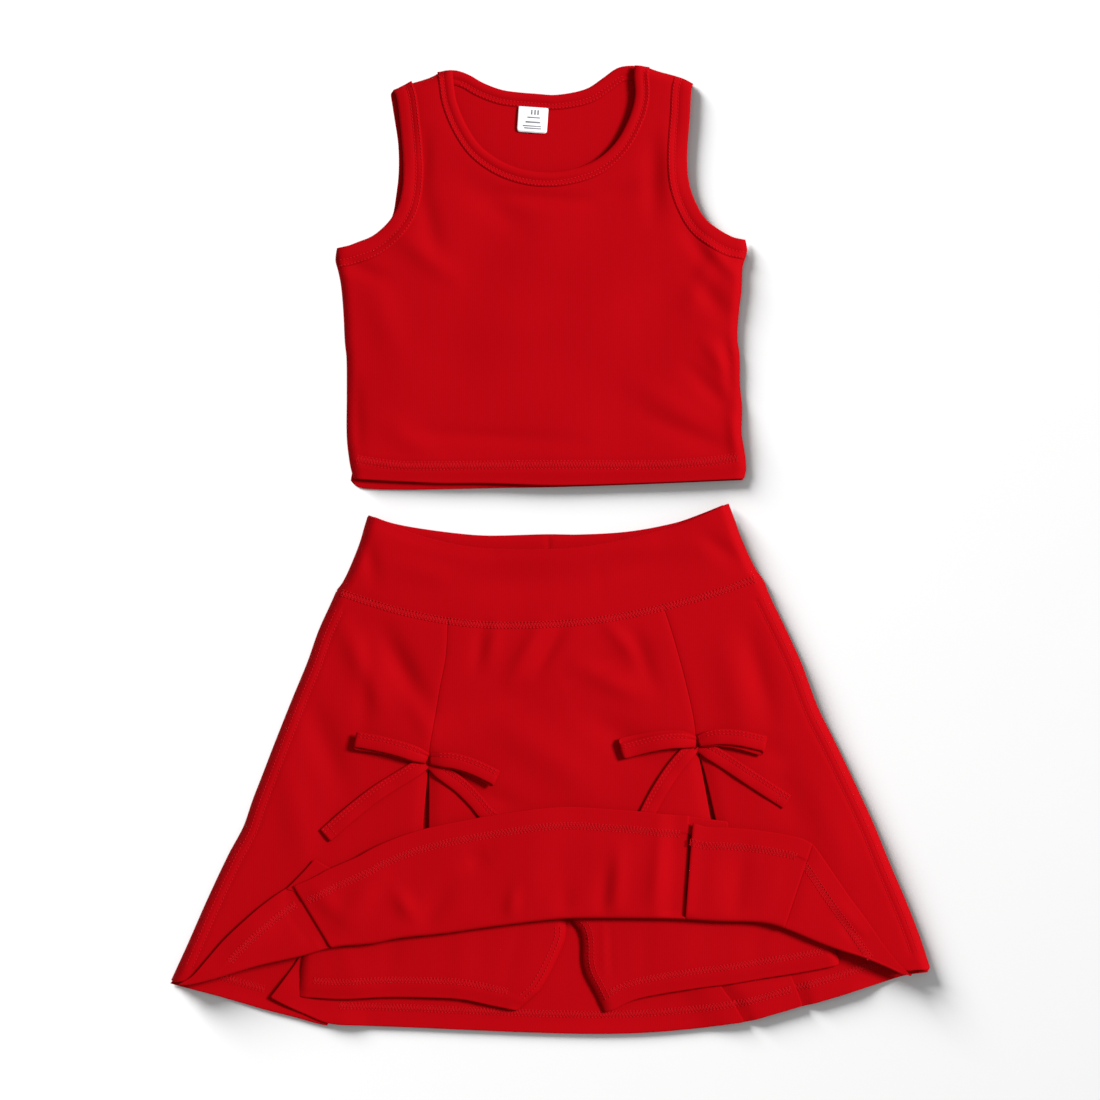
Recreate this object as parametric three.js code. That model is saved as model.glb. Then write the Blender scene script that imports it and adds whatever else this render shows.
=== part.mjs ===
// A two-piece cheer uniform lying flat: a cropped tank top above a skort, which is a pleated
// skirt over shorts with its front hem turned up. Millimetres: X across the garments, Y from
// the skirt's hem towards the neckline, Z up from the surface they lie on. The origin is under
// the middle of the set. Left and right are as the viewer looking down sees them.
import * as THREE from "three";

// The set
const garmentGap = 16; // from the top's hem to the corners of the skort's waist
const cloth = 0.8; // one ply of brushed knit
const plyGap = 0.4; // air between two plies that lie on each other
const bodyGap = 6; // space left for the body between front and back
const clearance = 0.3; // between edges that are sewn to each other
const seamWidth = 3; // overlocked seam that closes a side or a shoulder
const threadHeight = 0.4;

// The top
const topLength = 303;
const topCentre = -5; // the top lies a little to the left of the skirt's middle
const topHemWidth = 284;
const topHemSag = 5;
const chestWidth = 294;
const shoulderWidth = 216;
const neckWidth = 130;
const shoulderDrop = 14;
const armholeDepth = 133; // from the neck point down to the underarm
const armholeHollow = 10; // how far the armhole cuts in behind the shoulder point
const armholeTopReach = 0.35; // how long the armhole runs straight, as shares of its depth
const armholeLowReach = 0.15;
const frontNeckDepth = 75;
const backNeckDepth = 20;
const neckFlatness = 0.33; // flat stretch at the bottom of a neckline, as a share of its width
const neckTurn = 0.4; // height at which it turns upwards, as a share of its own height
const bindingWidth = 11;
const bindingHeight = 2;
const topHemAllowance = 15; // hem edge to its stitching
const stitchGauge = 6; // between the two needles of the coverstitch
const labelWidth = 21;
const labelHeight = 17;
const labelOffset = -7; // from the middle of the top
const labelThickness = 0.6;

// The skort
const waistWidth = 258;
const skirtLength = 377; // waist corners to the lowest point of the hem
const waistSagFront = 28;
const waistSagBack = 19;
const waistSeamWidth = 306;
const waistbandHeight = 53.5;
const waistSeamSag = 29;
const elasticHeight = 30;
const hemWidth = 548;
const hemSag = 41;
const frontHemRise = 3; // the front hem stops this much short of the back one
const lean = 0.0155; // the skirt lies with its right side a little higher
const slitWidth = 7; // pleat opening where it reaches the fold
const underlayWidth = 64;
const turnClearance = 1; // hinge line to the cloth on each side of it
const foldEndInset = 4; // end of the fold to the hem on each side of it
const seamNotch = 1; // from the top of a princess seam to the next point beside it
const hemAllowance = 12; // shorts hem edge to its stitching

// The fold that turns the front hem up, as shares of half the hem width, each with how far
// the fold stands above the hem there.
const foldStations = [
  { share: -0.956, depth: 3.6 },
  { share: -0.547, depth: 55 },
  { share: 0.354, depth: 80 },
  { share: 0.591, depth: 64 },
  { share: 0.92, depth: 4.5 },
];
const turnedNames = ["left", "centre", "right", "corner"];

// The shorts under the skirt: where each leg's hem ends at its inseam and at its outer edge,
// with heights measured from the lowest point of the skirt's hem.
const legs = [
  { side: "left", inner: [-23, 18], outer: [-181, 29] },
  { side: "right", inner: [45, 17], outer: [208, 46] },
];
const crotchX = 13;
const crotchDepth = 287; // below the waist corners
const crotchWidth = 10; // between the two inseams at the crotch
const shortsWaistInset = 4;
const inseamBow = 6; // how far an inseam bows out between the crotch and the hem
const stitchEndInset = 5.6; // from the leg's edges to the ends of its hem stitching

// The bows, each tacked on top of a pleat: where its tack is and how far above the fold,
// where the princess seam above it starts, where the pleat reaches the fold, and its strips.
const stripWidth = 11;
const stripThickness = 1.2;
const tackRadius = 2;
const stripStart = 4; // strips start this far from the middle of the tack
const pinchWidth = 4; // width of a strip where the tack pinches it
const pinchLength = 14; // from the tack to where a strip has its whole width
const bows = [
  {
    side: "left",
    tackX: -87,
    tackRise: 127.5,
    seamTop: -73,
    pleatFoot: -93,
    loops: [
      { side: "left", angle: 170, length: 50 },
      { side: "right", angle: -14, length: 48 },
    ],
    tails: [
      { side: "left", angle: 215.5, length: 90 },
      { side: "right", angle: -39, length: 84 },
    ],
  },
  {
    side: "right",
    tackX: 105,
    tackRise: 121,
    seamTop: 83,
    pleatFoot: 124,
    loops: [
      { side: "left", angle: 184, length: 52 },
      { side: "right", angle: 2, length: 48 },
    ],
    tails: [
      { side: "left", angle: 236, length: 84 },
      { side: "right", angle: -34, length: 78 },
    ],
  },
];

// Finishes
const finishes = {
  knit: { color: 0xbe0816, roughness: 0.8, metalness: 0 },
  thread: { color: 0xcd2030, roughness: 0.6, metalness: 0 },
  satin: { color: 0xf2f2ef, roughness: 0.5, metalness: 0 },
  elastic: { color: 0xe9e6df, roughness: 0.85, metalness: 0 },
};

// Heights of the plies, from the table up
const ply = cloth + plyGap;
const shortsBackZ = ply;
const innerFrontZ = shortsBackZ + cloth + bodyGap;
const underlayZ = innerFrontZ + ply;
const skirtFrontZ = underlayZ + ply;
const tailZ = skirtFrontZ + ply;
const turnedZ = tailZ + stripThickness + plyGap;
const loopThickness = 2 * stripThickness + plyGap;
const topFrontZ = cloth + bodyGap;

const uniform = new THREE.Group();
const top = new THREE.Group();
const skort = new THREE.Group();
uniform.add(top, skort);

// A flat ply: a closed outline of points, raised to its height.
function plate(group, name, outline, bottom, thickness, finish = finishes.knit) {
  const settings = { depth: thickness, bevelEnabled: false };
  const geometry = new THREE.ExtrudeGeometry(new THREE.Shape(outline), settings);
  const mesh = new THREE.Mesh(geometry, new THREE.MeshStandardMaterial(finish));
  mesh.name = name;
  mesh.position.z = bottom;
  group.add(mesh);
  return mesh;
}

// A line's copy moved sideways, to the left of its direction where the distance is positive.
function shifted(line, distance) {
  return line.map((point, i) => {
    const before = line[Math.max(i - 1, 0)];
    const after = line[Math.min(i + 1, line.length - 1)];
    const along = after.clone().sub(before).normalize();
    return new THREE.Vector2(point.x - along.y * distance, point.y + along.x * distance);
  });
}

function strip(line, from, to) {
  return [...shifted(line, from), ...shifted(line, to).reverse()];
}

// ---- The top, in points measured from its own middle line ----
const setLength = topLength + garmentGap + skirtLength;
const neckPointY = setLength / 2;
const topHemY = neckPointY - topLength;
const sideInset = seamWidth + clearance;
const shoulderSlope = shoulderDrop / ((shoulderWidth - neckWidth) / 2);

function onTop(x, y) {
  return new THREE.Vector2(topCentre + x, y);
}

function mirrored(line) {
  return line.map((point) => new THREE.Vector2(2 * topCentre - point.x, point.y));
}

const shoulderEndY = neckPointY - sideInset - clearance;
const neckStartY = shoulderEndY - (bindingWidth + 2 * clearance) * shoulderSlope;
const armholeStartY = neckPointY - shoulderDrop - sideInset;
const underarmY = neckPointY - armholeDepth;

// The right armhole edge, from the shoulder down to the underarm.
const armholeInX = shoulderWidth / 2 - armholeHollow;
const armhole = new THREE.CubicBezierCurve(
  onTop(shoulderWidth / 2, armholeStartY),
  onTop(armholeInX, armholeStartY - armholeDepth * armholeTopReach),
  onTop(armholeInX, underarmY + armholeDepth * armholeLowReach),
  onTop(chestWidth / 2, underarmY),
).getPoints(18);

// A neckline's right half, from the middle up to the shoulder.
function neckline(depth, fullness) {
  const lowY = neckPointY - depth;
  return new THREE.CubicBezierCurve(
    onTop(0, lowY),
    onTop(neckWidth * neckFlatness, lowY),
    onTop((neckWidth / 2) * fullness, lowY + (neckStartY - lowY) * neckTurn),
    onTop(neckWidth / 2, neckStartY),
  ).getPoints(16);
}

const frontNeck = neckline(frontNeckDepth, 1.04);
const backNeck = neckline(backNeckDepth, 0.86);

// The hem's right half, from the side to the middle.
function topHem(inset, raise) {
  const half = topHemWidth / 2 - inset;
  return new THREE.QuadraticBezierCurve(
    onTop(half, topHemY + topHemSag + raise),
    onTop(half / 2, topHemY + raise),
    onTop(0, topHemY + raise),
  ).getPoints(6);
}

function topPanel(name, neck, bottom) {
  const right = [
    ...topHem(sideInset, 0).reverse(),
    ...shifted(armhole, -bindingWidth - clearance).reverse(),
    ...shifted(neck, -bindingWidth - clearance).reverse(),
  ];
  const left = mirrored(right.slice(1, -1)).reverse();
  plate(top, name, [...right, ...left], bottom, cloth);
}

topPanel("top_front", frontNeck, topFrontZ);
topPanel("top_back", backNeck, 0);

// A neckline's whole edge, from its left shoulder round to its right one.
function wholeNeck(neck) {
  return [...mirrored(neck).reverse(), ...neck.slice(1)];
}

const frontNeckEdge = wholeNeck(frontNeck);
const backNeckEdge = wholeNeck(backNeck);
const frontBindingOutline = strip(frontNeckEdge, 0, -bindingWidth);
const backBindingOutline = strip(backNeckEdge, 0, -bindingWidth);
plate(top, "neck_binding_front", frontBindingOutline, topFrontZ, bindingHeight);
plate(top, "neck_binding_back", backBindingOutline, 0, bindingHeight);

const bindingTop = topFrontZ + bindingHeight + clearance;
const neckStitches = strip(frontNeckEdge, 1 - bindingWidth, 1 - bindingWidth + stitchGauge);
plate(top, "neck_stitching", neckStitches, bindingTop, threadHeight, finishes.thread);

for (const side of ["left", "right"]) {
  const placed = side === "right" ? (line) => line : (line) => mirrored(line).reverse();
  const binding = placed(strip(armhole, 0, -bindingWidth));
  plate(top, `${side}_armhole_binding_front`, binding, topFrontZ, bindingHeight);
  plate(top, `${side}_armhole_binding_back`, binding, 0, bindingHeight);

  const wholeHeight = topFrontZ + cloth;
  const sideSeam = placed([
    onTop(topHemWidth / 2, topHemY + topHemSag),
    onTop(chestWidth / 2, underarmY - bindingWidth),
    onTop(chestWidth / 2 - seamWidth, underarmY - bindingWidth),
    onTop(topHemWidth / 2 - seamWidth, topHemY + topHemSag),
  ]);
  plate(top, `top_${side}_side_seam`, sideSeam, 0, wholeHeight);

  const shoulderSeam = placed([
    onTop(neckWidth / 2, neckPointY - seamWidth),
    onTop(shoulderWidth / 2, neckPointY - shoulderDrop - seamWidth),
    onTop(shoulderWidth / 2, neckPointY - shoulderDrop),
    onTop(neckWidth / 2, neckPointY),
  ]);
  plate(top, `top_${side}_shoulder_seam`, shoulderSeam, 0, wholeHeight);
}

const hemStitchLow = topHem(2 * sideInset, topHemAllowance);
const hemStitchHigh = topHem(2 * sideInset, topHemAllowance + stitchGauge);
const hemStitches = [
  ...hemStitchLow.toReversed(),
  ...hemStitchHigh,
  ...mirrored(hemStitchHigh.slice(0, -1)).reverse(),
  ...mirrored(hemStitchLow.slice(0, -1)),
];
const topStitchZ = topFrontZ + cloth + clearance;
plate(top, "top_hem_stitching", hemStitches, topStitchZ, threadHeight, finishes.thread);

// The folded size label, hanging from the back neck binding inside the top.
const labelTopY = neckPointY - backNeckDepth - bindingWidth - clearance;
const label = [
  onTop(labelOffset - labelWidth / 2, labelTopY - labelHeight),
  onTop(labelOffset + labelWidth / 2, labelTopY - labelHeight),
  onTop(labelOffset + labelWidth / 2, labelTopY),
  onTop(labelOffset - labelWidth / 2, labelTopY),
];
const labelZ = bindingHeight + plyGap / 2;
plate(top, "size_label", label, labelZ, labelThickness, finishes.satin);

// ---- The skort ----
function onSkirt(x, y) {
  return new THREE.Vector2(x, y + lean * x);
}

// Edges that run across the skort and hang in a shallow curve between their two ends.
const waistY = topHemY - garmentGap;
const waistSeamY = waistY - waistbandHeight;
const hemLowY = waistY - skirtLength;
const hemEndY = hemLowY + hemSag;
const waistFront = { half: waistWidth / 2, endY: waistY, sag: waistSagFront };
const waistBack = { half: waistWidth / 2, endY: waistY, sag: waistSagBack };
const waistSeam = { half: waistSeamWidth / 2, endY: waistSeamY, sag: waistSeamSag };
const backHem = { half: hemWidth / 2, endY: hemEndY, sag: hemSag };
const sideFlare = (hemWidth - waistSeamWidth) / 2 / (waistSeamY - hemEndY);
const frontHem = {
  half: hemWidth / 2 - frontHemRise * sideFlare,
  endY: hemEndY + frontHemRise,
  sag: hemSag,
};

function pointOn(edge, x) {
  return onSkirt(x, edge.endY - edge.sag * (1 - (x / edge.half) ** 2));
}

function stretchOf(edge, from, to, steps) {
  return Array.from({ length: steps + 1 }, (_, i) => pointOn(edge, from + ((to - from) * i) / steps));
}

function raised(line, distance) {
  return line.map((point) => new THREE.Vector2(point.x, point.y + distance));
}

// The ply between two such edges, kept clear of the seams at its sides.
function acrossBetween(upper, lower, steps) {
  const upperHalf = upper.half - sideInset;
  const lowerHalf = lower.half - sideInset;
  return [
    ...raised(stretchOf(lower, -lowerHalf, lowerHalf, steps), clearance),
    ...stretchOf(upper, upperHalf, -upperHalf, steps),
  ];
}

// The wall that closes the side between front and back, from one edge down to another.
function sideWall(side, upper, lower) {
  const sign = side === "left" ? -1 : 1;
  const outline = [
    pointOn(upper, sign * upper.half),
    pointOn(upper, sign * (upper.half - seamWidth)),
    pointOn(lower, sign * (lower.half - seamWidth)),
    pointOn(lower, sign * lower.half),
  ];
  return sign < 0 ? outline.reverse() : outline;
}

const skirtHeight = skirtFrontZ + cloth;
plate(skort, "waistband_front", acrossBetween(waistFront, waistSeam, 18), skirtFrontZ, cloth);
plate(skort, "waistband_front_lining", acrossBetween(waistFront, waistSeam, 18), innerFrontZ, cloth);
plate(skort, "waistband_back", acrossBetween(waistBack, waistSeam, 18), 0, cloth);
plate(skort, "waistband_back_lining", acrossBetween(waistBack, waistSeam, 18), 2 * ply, cloth);

// The elastic lies between the two plies of the waistband, against its upper edge.
function elastic(name, edge, bottom) {
  const half = edge.half - 2 * sideInset;
  const upperLine = raised(stretchOf(edge, -half, half, 14), -2 * clearance);
  const outline = [...raised(upperLine, -elasticHeight), ...upperLine.reverse()];
  plate(skort, name, outline, bottom, cloth, finishes.elastic);
}

elastic("waist_elastic_front", waistFront, underlayZ);
elastic("waist_elastic_back", waistBack, ply);

for (const side of ["left", "right"]) {
  const bandWall = raised(sideWall(side, waistFront, waistSeam), clearance);
  const skirtWall = sideWall(side, waistSeam, backHem);
  plate(skort, `waistband_${side}_fold`, bandWall, 0, skirtHeight);
  plate(skort, `skirt_${side}_side_seam`, skirtWall, 0, skirtHeight);
}

const hemHalf = backHem.half - sideInset;
const frontHalf = frontHem.half - sideInset;
const seamHalf = waistSeamWidth / 2 - sideInset;
const backOutline = [
  ...stretchOf(backHem, -hemHalf, hemHalf, 26),
  ...stretchOf(waistSeam, seamHalf, -seamHalf, 18),
];
plate(skort, "skirt_back", backOutline, 0, cloth);

// The fold line of the turned-up hem: straight from station to station, so that each
// stretch of the hem can swing down on a hinge of its own.
const foldPoints = foldStations.map(({ share, depth }) => {
  const point = pointOn(backHem, (share * hemWidth) / 2);
  point.y += depth;
  return point;
});

function foldAt(x) {
  const next = Math.max(1, foldPoints.findIndex((point) => point.x >= x));
  const [from, to] = [foldPoints[next - 1], foldPoints[next]];
  const share = (x - from.x) / (to.x - from.x);
  return new THREE.Vector2(x, from.y + (to.y - from.y) * share);
}

function tackOf(bow) {
  return new THREE.Vector2(bow.tackX, foldAt(bow.tackX).y + bow.tackRise);
}

// Front plies end a little above the fold line and, beside it, at the front hem.
const [bowLeft, bowRight] = bows;
const firstFold = foldPoints[0];
const lastFold = foldPoints.at(-1);

// The seam above a bow and the edge of the pleat below it; side is -1 for the edge on the
// left of the opening and 1 for the edge on its right.
function pleatEdge(bow, side) {
  const gap = (side * clearance) / 2;
  const foot = foldAt(bow.pleatFoot + (side * slitWidth) / 2);
  return [
    pointOn(waistSeam, bow.seamTop + gap),
    new THREE.Vector2(bow.tackX + gap, tackOf(bow).y),
    new THREE.Vector2(foot.x, foot.y + turnClearance),
  ];
}

function insideCentre(x) {
  return x > bowLeft.pleatFoot + slitWidth && x < bowRight.pleatFoot - slitWidth;
}

function pastCentre(x) {
  return x > bowRight.pleatFoot + slitWidth;
}

const leftPanel = [
  pointOn(frontHem, -frontHalf),
  pointOn(frontHem, firstFold.x - foldEndInset),
  ...raised(foldPoints.slice(0, 2), turnClearance),
  ...pleatEdge(bowLeft, -1).reverse(),
  ...stretchOf(waistSeam, bowLeft.seamTop - seamNotch, -seamHalf, 6),
];
const centrePanel = [
  ...pleatEdge(bowLeft, 1),
  ...raised(foldPoints.filter((point) => insideCentre(point.x)), turnClearance),
  ...pleatEdge(bowRight, -1).reverse(),
  ...stretchOf(waistSeam, bowRight.seamTop - seamNotch, bowLeft.seamTop + seamNotch, 12),
];
const rightPanel = [
  ...pleatEdge(bowRight, 1),
  ...raised(foldPoints.filter((point) => pastCentre(point.x)), turnClearance),
  pointOn(frontHem, lastFold.x + foldEndInset),
  pointOn(frontHem, frontHalf),
  ...stretchOf(waistSeam, seamHalf, bowRight.seamTop + seamNotch, 6),
];

plate(skort, "skirt_front_left", leftPanel, skirtFrontZ, cloth);
plate(skort, "skirt_front_centre", centrePanel, skirtFrontZ, cloth);
plate(skort, "skirt_front_right", rightPanel, skirtFrontZ, cloth);

// The inner ply of each pleat, a wedge behind the opening.
for (const bow of bows) {
  const left = foldAt(bow.pleatFoot - underlayWidth / 2);
  const right = foldAt(bow.pleatFoot + underlayWidth / 2);
  const between = foldPoints.filter((point) => point.x > left.x && point.x < right.x);
  const apex = new THREE.Vector2(bow.tackX, tackOf(bow).y + stripWidth);
  const outline = [...raised([left, ...between, right], turnClearance), apex];
  plate(skort, `pleat_underlay_${bow.side}`, outline, underlayZ, cloth);
}

// The waist seam's coverstitch lies over the seam on the front.
const seamLine = stretchOf(waistSeam, -seamHalf, seamHalf, 20);
const seamStitches = [...raised(seamLine, -stitchGauge / 2), ...raised(seamLine, stitchGauge / 2).reverse()];
const skirtStitchZ = skirtHeight + clearance;
plate(skort, "waist_seam_stitching", seamStitches, skirtStitchZ, threadHeight, finishes.thread);

// One stretch of the turned-up hem: the cloth between the fold and the front hem, ended on
// the line that halves the corner to the next stretch, and then turned over the fold.
function halvingLine(i) {
  const point = foldPoints[i];
  const before = foldPoints[i - 1];
  const after = foldPoints[i + 1];
  const inDirection = point.clone().sub(before).normalize();
  const outDirection = after.clone().sub(point).normalize();
  const along = inDirection.add(outDirection).normalize();
  return { point, along };
}

// Where the halving line meets the front hem, clearance away from the line itself.
function hemEndAt(line, offset) {
  let x = line.point.x + offset;
  for (let step = 0; step < 20; step += 1) {
    const onHem = pointOn(frontHem, x);
    const drop = onHem.clone().sub(line.point);
    x += offset - drop.dot(line.along);
  }
  return x;
}

function turnedOver(point, from, to) {
  const along = to.clone().sub(from).normalize();
  const reach = point.clone().sub(from);
  const foot = from.clone().addScaledVector(along, reach.dot(along));
  return foot.multiplyScalar(2).sub(point);
}

turnedNames.forEach((name, i) => {
  const [from, to] = [foldPoints[i], foldPoints[i + 1]];
  const along = to.clone().sub(from).normalize();
  const away = new THREE.Vector2(along.y, -along.x).multiplyScalar(turnClearance);
  const first = i === 0;
  const last = i === turnedNames.length - 1;
  const hemFrom = first ? from.x + foldEndInset : hemEndAt(halvingLine(i), turnClearance);
  const hemTo = last ? to.x - foldEndInset : hemEndAt(halvingLine(i + 1), -turnClearance);
  const start = from.clone().addScaledVector(along, 2 * turnClearance).add(away);
  const end = to.clone().addScaledVector(along, -2 * turnClearance).add(away);
  const hanging = [start, ...stretchOf(frontHem, hemFrom, hemTo, 8), end];
  const outline = hanging.map((point) => turnedOver(point, from, to));
  plate(skort, `turned_hem_${name}`, outline.reverse(), turnedZ, cloth);
});

// The shorts: front and back of each leg, with the inseam and the outer edge closed.
for (const leg of legs) {
  const sign = leg.side === "left" ? -1 : 1;
  const seamGap = (sign * clearance) / 2;
  const waistOuter = sign * (waistSeamWidth / 2 - sideInset - shortsWaistInset);
  const waistLine = raised(stretchOf(waistSeam, seamGap, waistOuter, 8), -2 * clearance);
  const outer = new THREE.Vector2(leg.outer[0], hemLowY + leg.outer[1]);
  const inner = new THREE.Vector2(leg.inner[0], hemLowY + leg.inner[1]);
  const crotchY = waistY - crotchDepth;
  const crotchEnd = new THREE.Vector2(crotchX + (sign * crotchWidth) / 2, crotchY);
  const inseam = new THREE.QuadraticBezierCurve(
    crotchEnd,
    new THREE.Vector2(crotchEnd.x + sign * inseamBow, (crotchEnd.y + inner.y) / 2),
    inner,
  ).getPoints(8);
  const outerEdge = [waistLine.at(-1), outer];
  const inward = sign * sideInset;
  const outline = [
    ...waistLine.slice(0, -1),
    ...shifted(outerEdge, -inward),
    ...shifted(inseam, inward).reverse(),
    new THREE.Vector2(crotchX + seamGap, crotchY + seamWidth),
  ];
  const turnedRight = sign < 0 ? outline : outline.reverse();
  plate(skort, `shorts_${leg.side}_front`, turnedRight, innerFrontZ, cloth);
  plate(skort, `shorts_${leg.side}_back`, turnedRight, shortsBackZ, cloth);

  const wallHeight = innerFrontZ + cloth - shortsBackZ;
  const inseamWall = strip(inseam, 0, sign * seamWidth);
  const outerWall = strip(outerEdge, 0, -sign * seamWidth);
  plate(skort, `shorts_${leg.side}_inseam`, inseamWall, shortsBackZ, wallHeight);
  plate(skort, `shorts_${leg.side}_side`, outerWall, shortsBackZ, wallHeight);

  const along = inner.clone().sub(outer).setLength(stitchEndInset);
  const hemLine = [outer.clone().add(along), inner.clone().sub(along)];
  const stitches = strip(hemLine, -sign * hemAllowance, -sign * (hemAllowance + stitchGauge));
  const stitchZ = innerFrontZ + cloth + clearance;
  const stitchName = `shorts_${leg.side}_hem_stitching`;
  plate(skort, stitchName, stitches, stitchZ, threadHeight, finishes.thread);
}

// The bows: loops and tails are strips that start beside the tack, pinched by it, and point
// away from it.
function bowStrip(name, bow, { angle, length }, bottom, thickness) {
  const half = stripWidth / 2;
  const round = 2;
  const outline = new THREE.Shape();
  outline.moveTo(stripStart, -pinchWidth / 2);
  outline.lineTo(pinchLength, -half);
  outline.lineTo(length - round, -half);
  outline.quadraticCurveTo(length, -half, length, round - half);
  outline.lineTo(length, half - round);
  outline.quadraticCurveTo(length, half, length - round, half);
  outline.lineTo(pinchLength, half);
  outline.lineTo(stripStart, pinchWidth / 2);
  const mesh = plate(skort, name, outline.getPoints(3), bottom, thickness);
  const tack = tackOf(bow);
  mesh.position.x = tack.x;
  mesh.position.y = tack.y;
  mesh.rotation.z = THREE.MathUtils.degToRad(angle);
}

for (const bow of bows) {
  const tackHeight = turnedZ + loopThickness - tailZ;
  const tackShape = new THREE.CylinderGeometry(tackRadius, tackRadius, tackHeight, 20);
  const tack = new THREE.Mesh(tackShape, new THREE.MeshStandardMaterial(finishes.thread));
  tack.name = `${bow.side}_bow_tack`;
  tack.rotation.x = Math.PI / 2;
  tack.position.set(bow.tackX, tackOf(bow).y, tailZ + tackHeight / 2);
  skort.add(tack);
  for (const loop of bow.loops) {
    bowStrip(`${bow.side}_bow_${loop.side}_loop`, bow, loop, turnedZ, loopThickness);
  }
  for (const tail of bow.tails) {
    bowStrip(`${bow.side}_bow_${tail.side}_tail`, bow, tail, tailZ, stripThickness);
  }
}

export default uniform;
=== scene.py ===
# Cheer uniform: a cropped tank top and a pleated skort, laid flat and seen from above.
# Shapes are drawn in millimetres and turned to metres when their mesh is made.
import bpy
import numpy as np
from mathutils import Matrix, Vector, geometry


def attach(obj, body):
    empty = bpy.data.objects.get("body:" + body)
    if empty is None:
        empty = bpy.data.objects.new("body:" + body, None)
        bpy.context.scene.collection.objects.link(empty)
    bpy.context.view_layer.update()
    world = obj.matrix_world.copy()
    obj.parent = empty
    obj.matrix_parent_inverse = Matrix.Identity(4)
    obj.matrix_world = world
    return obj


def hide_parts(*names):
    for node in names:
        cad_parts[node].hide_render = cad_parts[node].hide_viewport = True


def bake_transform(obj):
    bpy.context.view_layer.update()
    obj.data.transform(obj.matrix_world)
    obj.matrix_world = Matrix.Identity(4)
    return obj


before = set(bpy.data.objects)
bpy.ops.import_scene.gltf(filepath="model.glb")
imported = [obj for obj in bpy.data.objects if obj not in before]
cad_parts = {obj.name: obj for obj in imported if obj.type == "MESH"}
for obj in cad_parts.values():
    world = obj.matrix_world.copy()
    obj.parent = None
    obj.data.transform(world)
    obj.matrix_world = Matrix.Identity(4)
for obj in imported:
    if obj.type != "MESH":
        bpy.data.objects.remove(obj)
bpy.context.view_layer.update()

mm = 0.001


# ---- Colours and materials ----

def hexToLinear(code):
    values = [int(code[i:i + 2], 16) / 255 for i in (1, 3, 5)]
    return [v / 12.92 if v <= 0.04045 else ((v + 0.055) / 1.055) ** 2.4 for v in values] + [1.0]


def addNode(tree, kind, settings=None, links=None):
    # settings go to the node's own fields or its sockets, links to its sockets
    node = tree.nodes.new(kind)
    for key, value in (settings or {}).items():
        if isinstance(key, str) and hasattr(node, key):
            setattr(node, key, value)
        else:
            node.inputs[key].default_value = value
    for socket, source in (links or {}).items():
        tree.links.new(source, node.inputs[socket])
    return node


def clothMaterial(name, look):
    # a base colour that drifts a little, rows of the weave as bump, and a soft unevenness
    material = bpy.data.materials.new(name)
    material.use_nodes = True
    tree = material.node_tree
    tree.nodes.clear()
    place = addNode(tree, "ShaderNodeTexCoord").outputs["Object"]
    drift = addNode(tree, "ShaderNodeTexNoise",
                    {"Scale": 1 / (look["driftMm"] * mm), "Detail": 3.0}, {"Vector": place})
    tint = addNode(tree, "ShaderNodeValToRGB", {}, {"Fac": drift.outputs["Fac"]})
    tint.color_ramp.elements[0].position = 0.2
    tint.color_ramp.elements[0].color = hexToLinear(look["dark"])
    tint.color_ramp.elements[1].position = 0.8
    tint.color_ramp.elements[1].color = hexToLinear(look["light"])
    turned = addNode(tree, "ShaderNodeMapping", {"Rotation": (0, 0, look["turn"])}, {"Vector": place})
    # a wave texture makes one band in about 0.31 of a unit at scale 1
    rows = addNode(tree, "ShaderNodeTexWave",
                   {"Scale": 0.314 / (look["rowMm"] * mm), "Distortion": look["wobble"],
                    "Detail": 2.0, "Detail Scale": 1.5},
                   {"Vector": turned.outputs["Vector"]})
    fuzz = addNode(tree, "ShaderNodeTexNoise",
                   {"Scale": 1 / (look["fuzzMm"] * mm), "Detail": 4.0}, {"Vector": place})
    rowBump = addNode(tree, "ShaderNodeBump",
                      {"Strength": look["rowDepth"], "Distance": 0.2 * mm},
                      {"Height": rows.outputs["Fac"]})
    bump = addNode(tree, "ShaderNodeBump",
                   {"Strength": look["fuzzDepth"], "Distance": 0.4 * mm},
                   {"Height": fuzz.outputs["Fac"], "Normal": rowBump.outputs["Normal"]})
    rough = addNode(tree, "ShaderNodeMapRange",
                    {"To Min": look["roughness"] - 0.05, "To Max": look["roughness"] + 0.05},
                    {"Value": fuzz.outputs["Fac"]})
    shader = addNode(tree, "ShaderNodeBsdfPrincipled",
                     {"IOR": look["ior"], "Sheen Weight": look["sheen"], "Sheen Roughness": 0.5,
                      "Sheen Tint": hexToLinear(look["sheenTint"]),
                      "Specular IOR Level": look["specular"]},
                     {"Base Color": tint.outputs["Color"], "Roughness": rough.outputs["Result"],
                      "Normal": bump.outputs["Normal"]})
    addNode(tree, "ShaderNodeOutputMaterial", {}, {"Surface": shader.outputs["BSDF"]})
    return material


# Brushed polyester and elastane jersey, piece-dyed red: deep even colour, hardly any gloss, a
# faint nap. Its wales are 0.8 mm apart, drawn at 1.6 mm so that they show.
brushedJersey = clothMaterial("brushed_jersey", {
    "dark": "#A30109", "light": "#A9020B", "driftMm": 90, "rowMm": 1.6, "turn": 0.0, "wobble": 0.6,
    "fuzzMm": 3, "rowDepth": 0.12, "fuzzDepth": 0.08, "roughness": 0.78, "ior": 1.5,
    "sheen": 0.05, "sheenTint": "#B00810", "specular": 0.03})

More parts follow.
